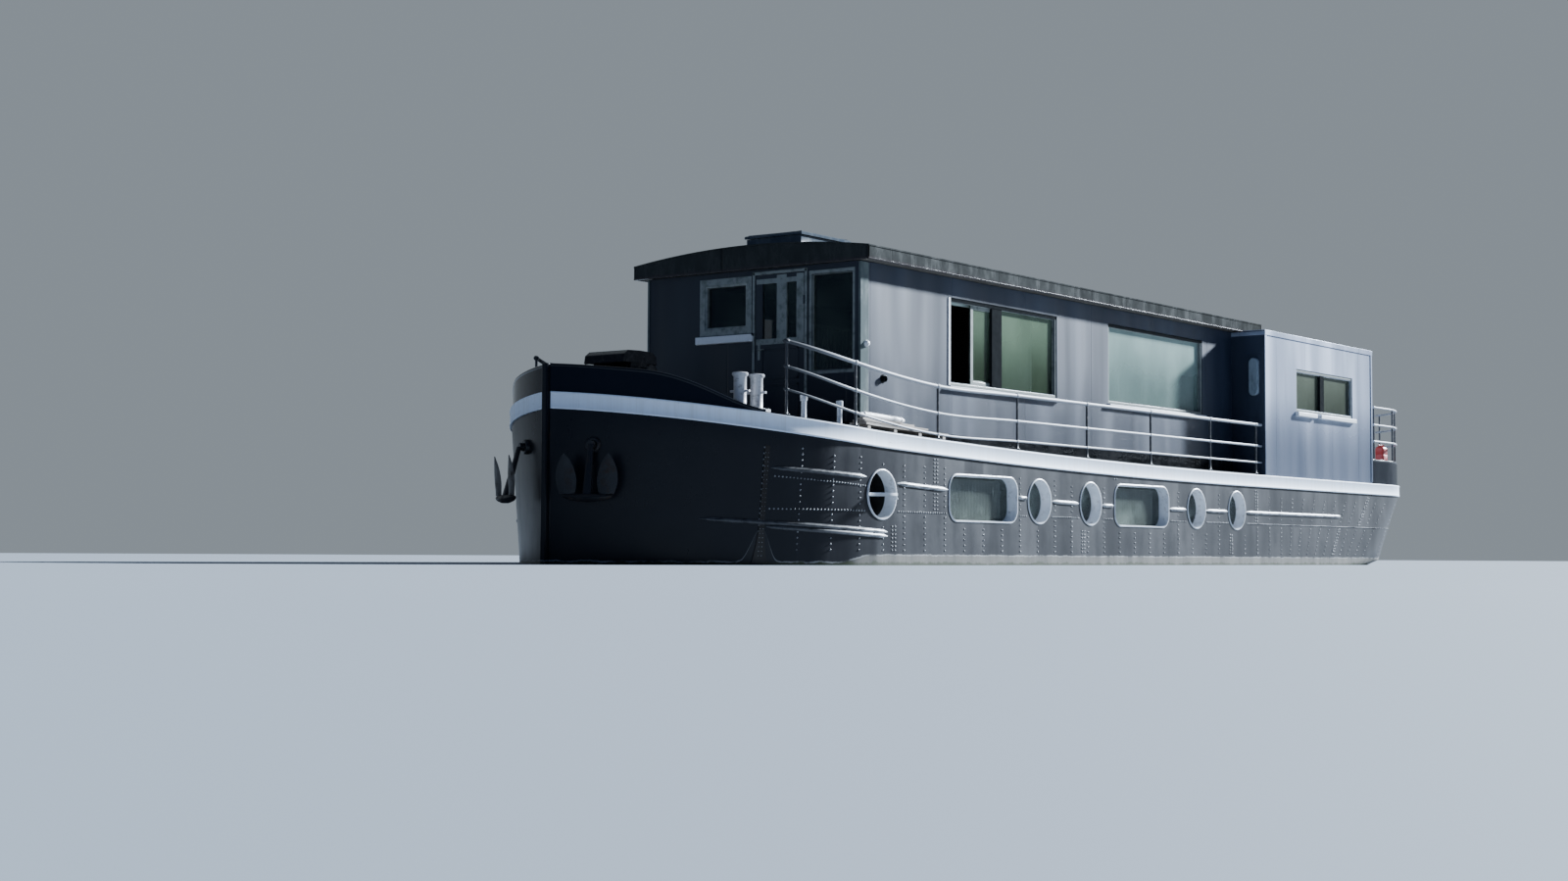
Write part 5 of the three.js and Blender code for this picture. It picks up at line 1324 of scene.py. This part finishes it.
# Wall fittings to port: a cable gland and a round lamp on the main cabin's side, near its forward
# corner, and a meter cupboard with rounded ends on the front of the aft cabin.
gland = [(0, 0.062), (0.006, 0.062), (0.008, 0.045), (0.05, 0.045), (0.056, 0.038), (0.03, 0.034)]
gland = Shape().turned(at(4.66, 1.868, 2.54), TO_PORT, gland, 20)
gland.piece("cable_gland", mullion_black, sharp=40)
cupboard_grey = coated(
    "cupboard_grey", None, (0.3, 0.36, 0.42), 0.35, 0.0008,
    ((7.0, 4.0, 0.7, (1, 1, 0.4)), (0.4, 0.7), (0.1, 0.12, 0.13), 1.0, 1.0, 0.3),
)
CUPBOARD_Y, CUPBOARD_H = 2.31, 3.3
CUPBOARD_R = 0.085
arc = [(math.cos(a), math.sin(a)) for a in spread(0.0, math.pi, 8)]
cup_outline = [(x * CUPBOARD_R, 0.25 + z * CUPBOARD_R) for x, z in arc]
cup_outline += [(-y, -h) for y, h in cup_outline]
cupboard = Shape().skin([
    [at(15.6 - out, CUPBOARD_Y + y * grow, CUPBOARD_H + h * (1 - (1 - grow) * 0.35))
     for y, h in cup_outline]
    for grow, out in ((1.0, -0.002), (1.0, 0.07), (0.9, 0.085))
])
cupboard.piece("meter_cupboard", cupboard_grey, sharp=40)
lamp = [(0, 0.05), (0.012, 0.05), (0.03, 0.045), (0.06, 0.03), (0.07, 0.0005)]
lamp = Shape().turned(at(4.24, 1.868, 2.99), TO_PORT, lamp, 20)
lamp.piece("door_lamp", sill_white, sharp=40)

# Inside, the floors are narrow boards, and a dark plywood partition with a doorway to port stands
# across the cabin between its side windows.
FLOOR_BOARD = 0.12
plywood = coated(
    "dark_plywood", "wood", (0.02, 0.012, 0.008), 0.45, 0.0006,
    ((9.0, 6.0, 0.65, (1.0, 1.0, 0.08)), (0.3, 0.75), (0.045, 0.028, 0.018), 1.0, 1.0, 0.15),
)
finish_nodes(plywood, "cabin_partition")
boards = Paint("floor_boards", "wood")
row = boards.y / FLOOR_BOARD
row_tone = boards.row_tone(math.floor(row))
grain = boards.noise(14.0, 5.0, 0.65, (0.12, 1.0, 1.0))
board_gap = abs(row % 1.0 - 0.5).ramp(0.47, 0.495)
floor_board_tone = boards.mix(grain * 0.6 + row_tone * 0.4, (0.12, 0.065, 0.03), (0.27, 0.16, 0.08))
floor_board_tone = boards.mix(board_gap * 0.8, floor_board_tone, (0.02, 0.012, 0.006))
boards.bump(grain * 0.3 - board_gap, 0.0015)
boards.set(Base_Color=floor_board_tone, Roughness=grain * 0.2 + 0.4)
finish_nodes(boards, "saloon_floor", "aft_cabin_floor")

# The handrails along the side decks: dark steel posts on round bolted feet, with three tubes that
# climb towards the bow. The top tube is the thickest; all are white, with rusty chips, and darkened
# at their forward ends: painted shade.
rail_white = Paint("rail_white", "rail_paint", Specular_IOR_Level=0.2)
rail_chips = rail_white.noise(20.0, 5.0, 0.7).ramp(0.6, 0.72)
rail_grime = rail_white.noise(4.0, 4.0, 0.6)
# Painted shade: the tubes darken to near black towards their forward ends.
rail_painted_shade = (STEM - rail_white.x + (rail_grime - 0.5) * 0.5).ramp(1.9, 3.9, 0.92, 0.0)
rail_tone = rail_white.mix(rail_grime * 0.5, (0.43, 0.44, 0.47), (0.28, 0.29, 0.31))
rail_tone = rail_white.mix(rail_painted_shade, rail_tone, (0.012, 0.015, 0.02))
rail_tone = rail_white.mix(rail_chips * 0.6, rail_tone, (0.2, 0.14, 0.1))
rail_white.bump(rail_chips, -0.0006)
rail_white.set(Base_Color=rail_tone, Roughness=rail_chips * 0.2 + 0.42)
post_grey = coated(
    "post_grey", "rail_paint", (0.05, 0.052, 0.058), 0.35, 0.0006,
    ((18.0, 5.0, 0.7), (0.5, 0.75), (0.16, 0.15, 0.14), 1.0, 1.0, 0.3),
    Metallic=0.2,
)
RAIL_POSTS = [2.05, 3.23, 5.19, 7.3, 9.36, 11.44, 13.58, 15.37]
RAIL_PLACES = [*RAIL_POSTS, 15.598]
RAIL_IN = 0.078
# Each rail: its height along the cabin, its rise at the two forward posts, and its radius.
RAILS = [(2.45, (0.38, 0.18), 0.027), (2.08, (0.43, 0.19), 0.02), (1.79, (0.43, 0.19), 0.016)]
DECK_PLATE = 0.022


def smooth_run(places, values, where):
    """The value at a place on a smooth curve through a few values."""
    last = len(places) - 1
    k = max(i for i in range(last) if i == 0 or places[i] <= where)
    slopes = []
    for i in (k, k + 1):
        before, after = max(i - 1, 0), min(i + 1, last)
        slopes.append((values[after] - values[before]) / (places[after] - places[before]))
    gap = places[k + 1] - places[k]
    t = (where - places[k]) / gap
    rise = 3 * t**2 - 2 * t**3
    bend = (t**3 - 2 * t**2 + t) * slopes[0] + (t**3 - t**2) * slopes[1]
    return (1 - rise) * values[k] + rise * values[k + 1] + bend * gap


def collar(shape, place, along, radius):
    """The welded sleeve where a rail crosses a post."""
    profile = [(0, radius), (0.006, radius + 0.006), (0.054, radius + 0.006), (0.06, radius)]
    shape.turned(place - along * 0.03, along, profile, 14)


def rail_run(u, reach, inset):
    """The direction of a rail at station u."""
    return (beside(min(u + reach, LENGTH), -inset, 0) - beside(u - reach, -inset, 0)).normalized()


handrail = Shape()
for base_h, rises, radius in RAILS:
    heights = [base_h + rise for rise in rises] + [base_h] * (len(RAIL_PLACES) - len(rises))
    run = spread(RAIL_PLACES[0], RAIL_PLACES[-1], 90)
    path = [beside(u, -RAIL_IN, smooth_run(RAIL_PLACES, heights, u)) for u in run]
    first = path[0] + (path[0] - path[1]).normalized() * 0.05
    path = [first - UP * 0.01, first + (path[0] - first) * 0.4, *path]
    handrail.tube(path, [radius * 0.55, radius * 0.9] + [radius] * (len(path) - 2), 14)
    for u, h in zip(RAIL_POSTS, heights):
        collar(handrail, beside(u, -RAIL_IN, h), rail_run(u, 0.05, RAIL_IN), radius)
for i, u in enumerate(RAIL_POSTS):
    deck_h = sheer(u) + DECK_PLATE
    top_h = RAILS[0][0] + (RAILS[0][1][i] if i < 2 else 0.0)
    foot = beside(u, -RAIL_IN, deck_h)
    profile = [(-0.004, 0.046), (0.008, 0.046), (0.012, 0.026), (0.02, 0.019), (0.1, 0.018)]
    handrail.turned(foot, UP, [*profile, (top_h - deck_h, 0.018)], 14, 1)
    for k in range(4):
        angle = math.pi / 4 + math.pi / 2 * k
        bolt = foot + Vector((math.cos(angle), math.sin(angle), 0)) * 0.035
        handrail.turned(bolt, UP, [(0.006, 0.006), (0.014, 0.006), (0.016, 0.004)], 6, 1)
handrail.both_sides().piece(
    "handrails", rail_white, post_grey, instead=("port_handrail", "starboard_handrail"), sharp=50
)

# The stern rail stands on the bulwark and runs round the counter: three steel tubes, in the
# handrails' white, on posts that they are welded to with short sleeves.
STERN_POSTS = [20.62, 21.6, 22.4, 23.05, 23.44]
STERN_RAIL_HS = [2.39, 2.71, 3.05]
STERN_RAIL_IN = 0.03
STERN_RAIL_R = 0.02


def station_of(aft):
    """The station of a place on the deck edge, round the stern too."""
    if aft <= STERN_TURN:
        return aft
    return STERN_TURN + STERN_LENGTH * math.degrees(math.asin((aft - STERN_TURN) / STERN_LENGTH)) / 90


stern_rail = Shape()
for h in STERN_RAIL_HS:
    port_run = [beside(u, -STERN_RAIL_IN, h) for u in spread(STERN_POSTS[0], LENGTH, 60)]
    stern_rail.tube([*port_run, *[mirrored(p) for p in reversed(port_run)]], STERN_RAIL_R, 12)
    for u in (station_of(aft) for aft in STERN_POSTS):
        place, along = beside(u, -STERN_RAIL_IN, h), rail_run(u, 0.03, STERN_RAIL_IN)
        collar(stern_rail, place, along, STERN_RAIL_R)
        collar(stern_rail, mirrored(place), mirrored(along), STERN_RAIL_R)
for aft in STERN_POSTS:
    place = beside(station_of(aft), -STERN_RAIL_IN, STERN_TOP - 0.01)
    profile = [(0, 0.032), (0.012, 0.032), (0.016, 0.018), (1.0, 0.018), (1.02, 0.012)]
    for foot in (place, mirrored(place)):
        stern_rail.turned(foot, UP, profile, 12, 1)
stern_rail.piece("stern_rails", rail_white, post_grey, instead=("stern_rail",), sharp=50)

# The bitts are pairs of capped steel tubes with a cross pin, on a bolted base plate, in pale grey
# paint that is worn and rusty in patches.
bitt_grey = coated(
    "bitt_grey", "rail_paint", (0.5, 0.5, 0.52), 0.35, 0.0025,
    ((9.0, 6.0, 0.7, (1, 1, 2.2)), (0.5, 0.68), (0.24, 0.235, 0.23), 1.0, 0.7, 0.1),
    ((6.0, 6.0, 0.7), (0.6, 0.72), (0.2, 0.09, 0.04), 0.55, 0.5, 0.3),
    Metallic=0.15,
)
BITT_R = 0.082


def pair_of_bitts(name, aft0, aft1, y, height):
    shape = Shape()
    foot = sheer(aft0) + 0.021
    weld = sheer(aft1 + 0.16) - sheer(aft0) + 0.03
    ends = [(aft0 - 0.16, 0.1), (aft0 - 0.15, 0.13), (aft1 + 0.15, 0.13), (aft1 + 0.16, 0.1)]
    shape.skin([
        upright_ring(a, y - reach, y + reach, sheer(a) + 0.02, foot + 0.012) for a, reach in ends
    ])
    ends = [(a, reach - 0.014) for a, reach in ends]
    shape.skin([
        upright_ring(a, y - reach, y + reach, foot + 0.01, foot + 0.055) for a, reach in ends
    ])
    profile = [(weld, 0.012), (0.055, 0.012), (0.07, 0.0)]
    profile += [(height + rise, swell) for rise, swell in (
        (-0.06, 0.0), (-0.045, 0.012), (-0.035, 0.022), (-0.012, 0.022), (-0.002, 0.01),
        (0.004, -BITT_R / 2), (0.006, 0.001 - BITT_R),
    )]
    profile = [(rise, BITT_R + swell) for rise, swell in profile]
    for aft in (aft0, aft1):
        shape.turned(at(aft, y, foot), UP, profile, 32)
        pin_h = foot + height * 0.52
        shape.tube([at(aft, y - BITT_R - 0.07, pin_h), at(aft, y + BITT_R + 0.07, pin_h)], 0.016)
        for c, s in circle(8):
            bolt = at(aft + 0.115 * c, y + 0.098 * s, foot + 0.05)
            shape.turned(bolt, UP, [(0, 0.009), (0.012, 0.009), (0.015, 0.006)], 6)
    shape.piece(f"{name}_bollards", bitt_grey, instead=(f"{name}_bitts",), sharp=45)


for end, *sizes, y, height in (("fore", 1.72, 2.06, 1.7, 0.5), ("aft", 20.9, 21.24, 2.15, 0.42)):
    pair_of_bitts(f"port_{end}", *sizes, y, height)
    pair_of_bitts(f"starboard_{end}", *sizes, -y, height)

# The anchor windlass: two cast cheeks on a bed, a chain drum with flanges, a toothed wheel, flared
# warping ends, a brake wheel and a sheet steel hood.
gear_black = coated(
    "windlass_black", "iron", (0.012, 0.013, 0.016), 0.22, 0.002,
    ((6.0, 5.0, 0.7), (0.4, 0.7), (0.034, 0.034, 0.036), 1.0, 0.5, 0.0),
    ((8.0, 6.0, 0.7), (0.56, 0.7), (0.03, 0.02, 0.016), 0.2, 1.0, 0.25),
    Specular_IOR_Level=0.15,
)
GEAR_FOOT = sheer(1.0) + 0.021
DRUM_AFT = 1.375
DRUM_H = 0.42
HOOD_LIFT = 2.75 - 0.823 - GEAR_FOOT
TEETH = 36
CHEEK = [
    (1.05, 0.05), (1.7, 0.05), (1.68, 0.16), (1.56, 0.42), (1.52, 0.66), (1.22, 0.66),
    (1.19, 0.42), (1.07, 0.16),
]
DRUM = [
    (-0.27, 0.19), (-0.25, 0.19), (-0.245, 0.15), (-0.09, 0.15), (-0.08, 0.175), (-0.05, 0.12),
    (-0.02, 0.175), (-0.01, 0.15), (0.235, 0.15), (0.24, 0.19), (0.26, 0.19),
]
WARPING_END = [
    (0.3, 0.1), (0.33, 0.125), (0.35, 0.1), (0.4, 0.082), (0.46, 0.085), (0.51, 0.105),
    (0.53, 0.12), (0.54, 0.115), (0.54, 0.02),
]
HOOD = [
    (1.04, 0.66), (1.06, 0.76), (1.14, 0.815), (1.375, 0.823), (1.61, 0.815), (1.69, 0.76), (1.71, 0.66)
]


def on_gear(y, aft, h):
    return at(aft, y, GEAR_FOOT + h)


windlass = Shape().skin([
    upright_ring(aft, -0.34, 0.34, sheer(aft) + 0.02, GEAR_FOOT + 0.06) for aft in (1.0, 1.75)
])
hub = on_gear(0, DRUM_AFT, DRUM_H)
for cheek_y in (-0.3, 0.3):
    windlass.bar(on_gear, CHEEK, (cheek_y - 0.02, cheek_y + 0.02))
    for a0, a1, h0, h1 in ((1.05, 1.7, 0.045, 0.09), (1.21, 1.53, 0.62, 0.67)):
        windlass.block(a0, a1, cheek_y - 0.035, cheek_y + 0.035, GEAR_FOOT + h0, GEAR_FOOT + h1)
    windlass.turned(hub + TO_PORT * (cheek_y - 0.045), TO_PORT, [(0, 0.09), (0.09, 0.09)])
windlass.turned(hub, TO_PORT, DRUM, 32)
for sign in (-1, 1):
    windlass.turned(hub, TO_PORT * sign, WARPING_END, 28)
gear_outline = []
for k in range(TEETH):
    for step, radius in ((0.0, 0.205), (0.3, 0.205), (0.45, 0.23), (0.8, 0.23)):
        angle = 2 * math.pi * (k + step) / TEETH
        gear_outline.append((DRUM_AFT + radius * math.cos(angle), DRUM_H + radius * math.sin(angle)))
windlass.bar(on_gear, gear_outline, (0.262, 0.279))
for c, s in circle(14, 0.12):
    stud = on_gear(-0.05, DRUM_AFT + c, DRUM_H + s)
    windlass.turned(stud, TO_PORT, [(-0.03, 0.018), (0.03, 0.018)], 8)
hood = [(aft, h + HOOD_LIFT) for aft, h in HOOD]
hood_inside = []
for aft, h in reversed(hood):
    inward = 0.012 if aft < DRUM_AFT else -0.012 if aft > DRUM_AFT else 0
    hood_inside.append((aft + inward, h - 0.012))
windlass.bar(on_gear, hood + hood_inside, (-0.33, 0.33))
for y in (-0.33, 0.33):
    windlass.bar(on_gear, hood, (y - 0.006, y + 0.006))
brake = on_gear(0.1, 1.13, 0.3)
windlass.tube([brake + Vector((0, c, s)) for c, s in circle(28, 0.11)], 0.01, 8, looped=True)
for c, s in circle(3, 0.11):
    windlass.tube([brake, brake + Vector((0, c, s))], 0.007, 6)
windlass.tube([brake, brake + Vector((-0.2, 0, 0.06))], 0.012, 8)
windlass.piece("anchor_windlass", gear_black, instead=("windlass",), bevel=0.003, sharp=40)

# The hatches: low welded coamings in grey, with pressed lids on two hinges that have a handle, two
# dogs and a rubber seal. The lids turn with their own bodies.
hatch_grey = panel_paint("hatch_grey", "hull_paint", (0.04, 0.044, 0.05), (0.09, 0.095, 0.1), 5.0)
finish_nodes(hatch_grey, "fore_hatch_coaming", "aft_hatch_coaming", "fore_hatch_lid", "aft_hatch_lid")
rubber = coated(
    "seal_rubber", None, (0.012, 0.012, 0.012), 0.65, 0.0004,
    ((30.0, 3.0), None, (0.035, 0.034, 0.032), 1.0, 1.0, 0.2),
)
for name, (front, rear, half, rise, depth) in HATCHES.items():
    top_h = sheer(front) + rise
    lid_top = top_h + 0.051
    pressing = Shape().skin([
        level_ring(front + 0.04, rear - 0.04, half - 0.04, lid_top + h, -inset)
        for inset, h in ((0.0, -0.002), (0.01, 0.012), (0.2, 0.016))
    ])
    handle = [(-0.1, 0), (-0.1, 0.05), (-0.085, 0.06), (0.085, 0.06), (0.1, 0.05), (0.1, 0)]
    pressing.tube([at(front + 0.08, y, lid_top + h) for y, h in handle], 0.008, 8)
    pressing.piece(f"{name}_hatch_lid_pressing", hatch_grey, body=f"{name}_hatch_lid", sharp=30)
    seal = Shape()
    seal_corners = level_ring(front, rear, half, top_h + 0.001, -0.015)
    for k in range(4):
        seal.tube([seal_corners[k], seal_corners[(k + 1) % 4]], 0.0045, 8)
    seal.piece(f"{name}_hatch_seal", rubber)
    dogs = Shape()
    for y in (-half * 0.6, half * 0.6):
        dogs.block(front - 0.022, front, y - 0.03, y + 0.03, top_h - 0.13, top_h - 0.04)
        hook = ((0.024, 0.1), (0.05, 0.085), (0.05, 0.03))
        dogs.tube([at(front - out, y, top_h - drop) for out, drop in hook], 0.007, 8)
    dogs.piece(f"{name}_hatch_dogs", post_grey, bevel=0.002)

# A boarding plank lies on bearers on the port side deck: two boards side by side with treads. Three
# shorter boards and a rolled white fender lie on it.
PLANK_FRONT, PLANK_REAR = 3.7, 5.7
PLANK_Y, PLANK_HALF = 2.13, 0.14
ROLL_Y, ROLL_LIFT = 2.14, 0.222
# Each short board: its two edges, its after end and its foot above the deck.
SHORT_BOARDS = [(2.03, 2.13, 5.05, 0.12), (2.14, 2.23, 5.25, 0.12), (2.08, 2.2, 4.95, 0.149)]
GRAIN = (16.0, 6.0, 0.65, (0.08, 1.0, 1.0))
plank_wood = coated(
    "plank_wood", "wood", (0.2, 0.15, 0.11), 0.6, 0.002,
    (GRAIN, (0.3, 0.7), (0.5, 0.44, 0.37), 1.0, 0.0, 0.0),
    (GRAIN, None, None, 0.0, 1.0, 0.2),
    ((1.6, 4.0, 0.6), (0.35, 0.7), (0.45, 0.44, 0.42), 0.5, 0.0, 0.0),
)


def on_deck(aft, y, lift):
    return at(aft, y, sheer(aft) + DECK_PLATE + lift)


def deck_board(shape, stops, y0, y1, low, high):
    """A board or batten that follows the deck from stop to stop, low and high above it."""
    shape.bar(on_deck, ((y0, low), (y1, low), (y1, high), (y0, high)), stops)


planks = Shape()
for y0, y1 in ((PLANK_Y - PLANK_HALF, PLANK_Y - 0.004), (PLANK_Y + 0.004, PLANK_Y + PLANK_HALF)):
    deck_board(planks, spread(PLANK_FRONT, PLANK_REAR, 14), y0, y1, 0.078, 0.112)
for a in (3.78, 4.4, 5.0, 5.6):
    deck_board(planks, (a - 0.035, a + 0.035), PLANK_Y - 0.13, PLANK_Y + 0.13, 0.0, 0.079)
for a in spread(3.8, 5.6, 9):
    deck_board(planks, (a - 0.012, a + 0.012), PLANK_Y - 0.125, PLANK_Y + 0.125, 0.11, 0.12)
for y0, y1, rear, lift in SHORT_BOARDS:
    deck_board(planks, spread(3.72, rear, 8), y0, y1, lift, lift + 0.028)
planks.piece("boarding_plank", plank_wood, instead=("gangplank",), bevel=0.003)
roll = Shape()
roll_path = [on_deck(aft, ROLL_Y, ROLL_LIFT) for aft in spread(3.74, 4.76, 12)]
roll.tube(roll_path, [0.026, 0.04, 0.044] + [0.045] * 7 + [0.044, 0.04, 0.026], 20)
for a in (3.82, 4.68):
    roll.tube([on_deck(a + reach, ROLL_Y, ROLL_LIFT) for reach in (-0.012, 0.012)], 0.047, 20)
roll.piece("rolled_fender", sill_white, sharp=60)

# The fuel can: a red moulded can with pressed crosses on its faces, three carrying bars, a black
# spout cap and a mould seam round its middle. It stands on a wooden step box inside the quarter.
can_red = coated(
    "can_red", "red_plastic", (0.42, 0.012, 0.01), 0.38, 0.0008,
    ((6.0, 4.0, 0.6), None, (0.55, 0.05, 0.035), 1.0, 0.2, 0.0),
    ((30.0, 5.0, 0.7), (0.55, 0.75), (0.5, 0.2, 0.17), 0.4, 0.4, 0.0),
)
finish_nodes(plank_wood, "boarding_step")
CAN_AFT, CAN_Y, CAN_FOOT = 22.06, 2.05, 2.0303
# The can's outline on the way up: half its length, half its width, height and corner radius.
CAN_RINGS = [
    (0.105, 0.07, 0.0, 0.03), (0.12, 0.085, 0.012, 0.035), (0.125, 0.09, 0.03, 0.04),
    (0.125, 0.09, 0.16, 0.04), (0.122, 0.087, 0.165, 0.04), (0.122, 0.087, 0.171, 0.04),
    (0.125, 0.09, 0.176, 0.04), (0.125, 0.09, 0.27, 0.04), (0.12, 0.085, 0.3, 0.038),
    (0.1, 0.066, 0.322, 0.03), (0.07, 0.04, 0.33, 0.02),
]


def on_can(along, out, up):
    return at(CAN_AFT + along, CAN_Y + out, CAN_FOOT + up)


can = Shape().skin([
    [on_can(a, y, h) for a, y in rounded(2 * half_a, 2 * half_y, corner, 5)]
    for half_a, half_y, h, corner in CAN_RINGS
])
for y in (-0.089, 0.089):
    for h0, h1 in ((0.05, 0.14), (0.14, 0.05), (0.2, 0.26), (0.26, 0.2)):
        can.tube([on_can(-0.08, y, h0), on_can(0.08, y, h1)], 0.006, 8)
for y in (-0.035, 0.0, 0.035):
    bar = [(-0.08, 0.32), (-0.07, 0.352), (-0.05, 0.36), (0.03, 0.36), (0.045, 0.352), (0.05, 0.322)]
    can.tube([on_can(a, y, h) for a, h in bar], 0.008, 8)
can.piece("red_fuel_can", can_red, instead=("fuel_can",), sharp=50)
cap = [(0, 0.026), (0.02, 0.026), (0.02, 0.032), (0.05, 0.032), (0.054, 0.028)]
cap = Shape().turned(on_can(0.085, 0, 0.31), Vector((-0.25, 0, 1)), cap)
cap.piece("fuel_can_cap", rubber, sharp=40)

# Below the water: the propeller on its shaft, four twisted bronze blades on a boss; the plate
# rudder on its stock; and the engine's block, inside.
bronze = coated(
    "propeller_bronze", "bronze", (0.36, 0.21, 0.08), 0.3, 0.001,
    ((9.0, 5.0, 0.7), (0.45, 0.75), (0.09, 0.13, 0.09), 0.7, 1.0, 0.4),
    Metallic=0.85,
)
SCREW_R = 0.33
BLADES = 4
BOSS = [
    (-0.094, 0.05), (-0.094, 0.066), (-0.05, 0.07), (0.05, 0.068), (0.09, 0.055), (0.1, 0.038),
    (0.135, 0.03), (0.139, 0.012),
]
screw_hub = at(21.33, 0, -0.48)
screw = Shape().turned(screw_hub, Vector((-1, 0, 0)), BOSS, 28)
for blade in range(BLADES):
    rings = []
    for share in spread(0.0, 1.0, 12):
        radius = 0.055 + (SCREW_R - 0.056) * share
        chord = 0.13 * math.sin(math.pi * (0.2 + 0.78 * share)) ** 0.7 + 0.01
        thick = 0.016 * (1 - share) + 0.005
        pitch = math.radians(62 - 32 * share)
        ring = []
        for c, s in circle(10, 0.5):
            sweep = chord * c * math.cos(pitch) - thick * s * math.sin(pitch)
            along = chord * c * math.sin(pitch) + thick * s * math.cos(pitch)
            angle = 2 * math.pi * blade / BLADES + sweep / radius * 0.85
            place = Vector((-along * 0.8, radius * math.sin(angle), radius * math.cos(angle)))
            ring.append(screw_hub + place)
        rings.append(ring)
    screw.skin(rings)
screw.piece("bronze_propeller", bronze, body="propeller", instead=("propeller",), sharp=50)
finish_nodes(bottom_red, "rudder")
finish_nodes(iron, "engine")
rudder_bands = Shape()
for h in (-0.75, -0.5, -0.25):
    for y0, y1 in ((0.03, 0.042), (-0.042, -0.03)):
        rudder_bands.block(21.8, 22.5, y0, y1, h - 0.03, h + 0.03)
rudder_bands.piece("rudder_straps", bottom_red, body="rudder", bevel=0.004)
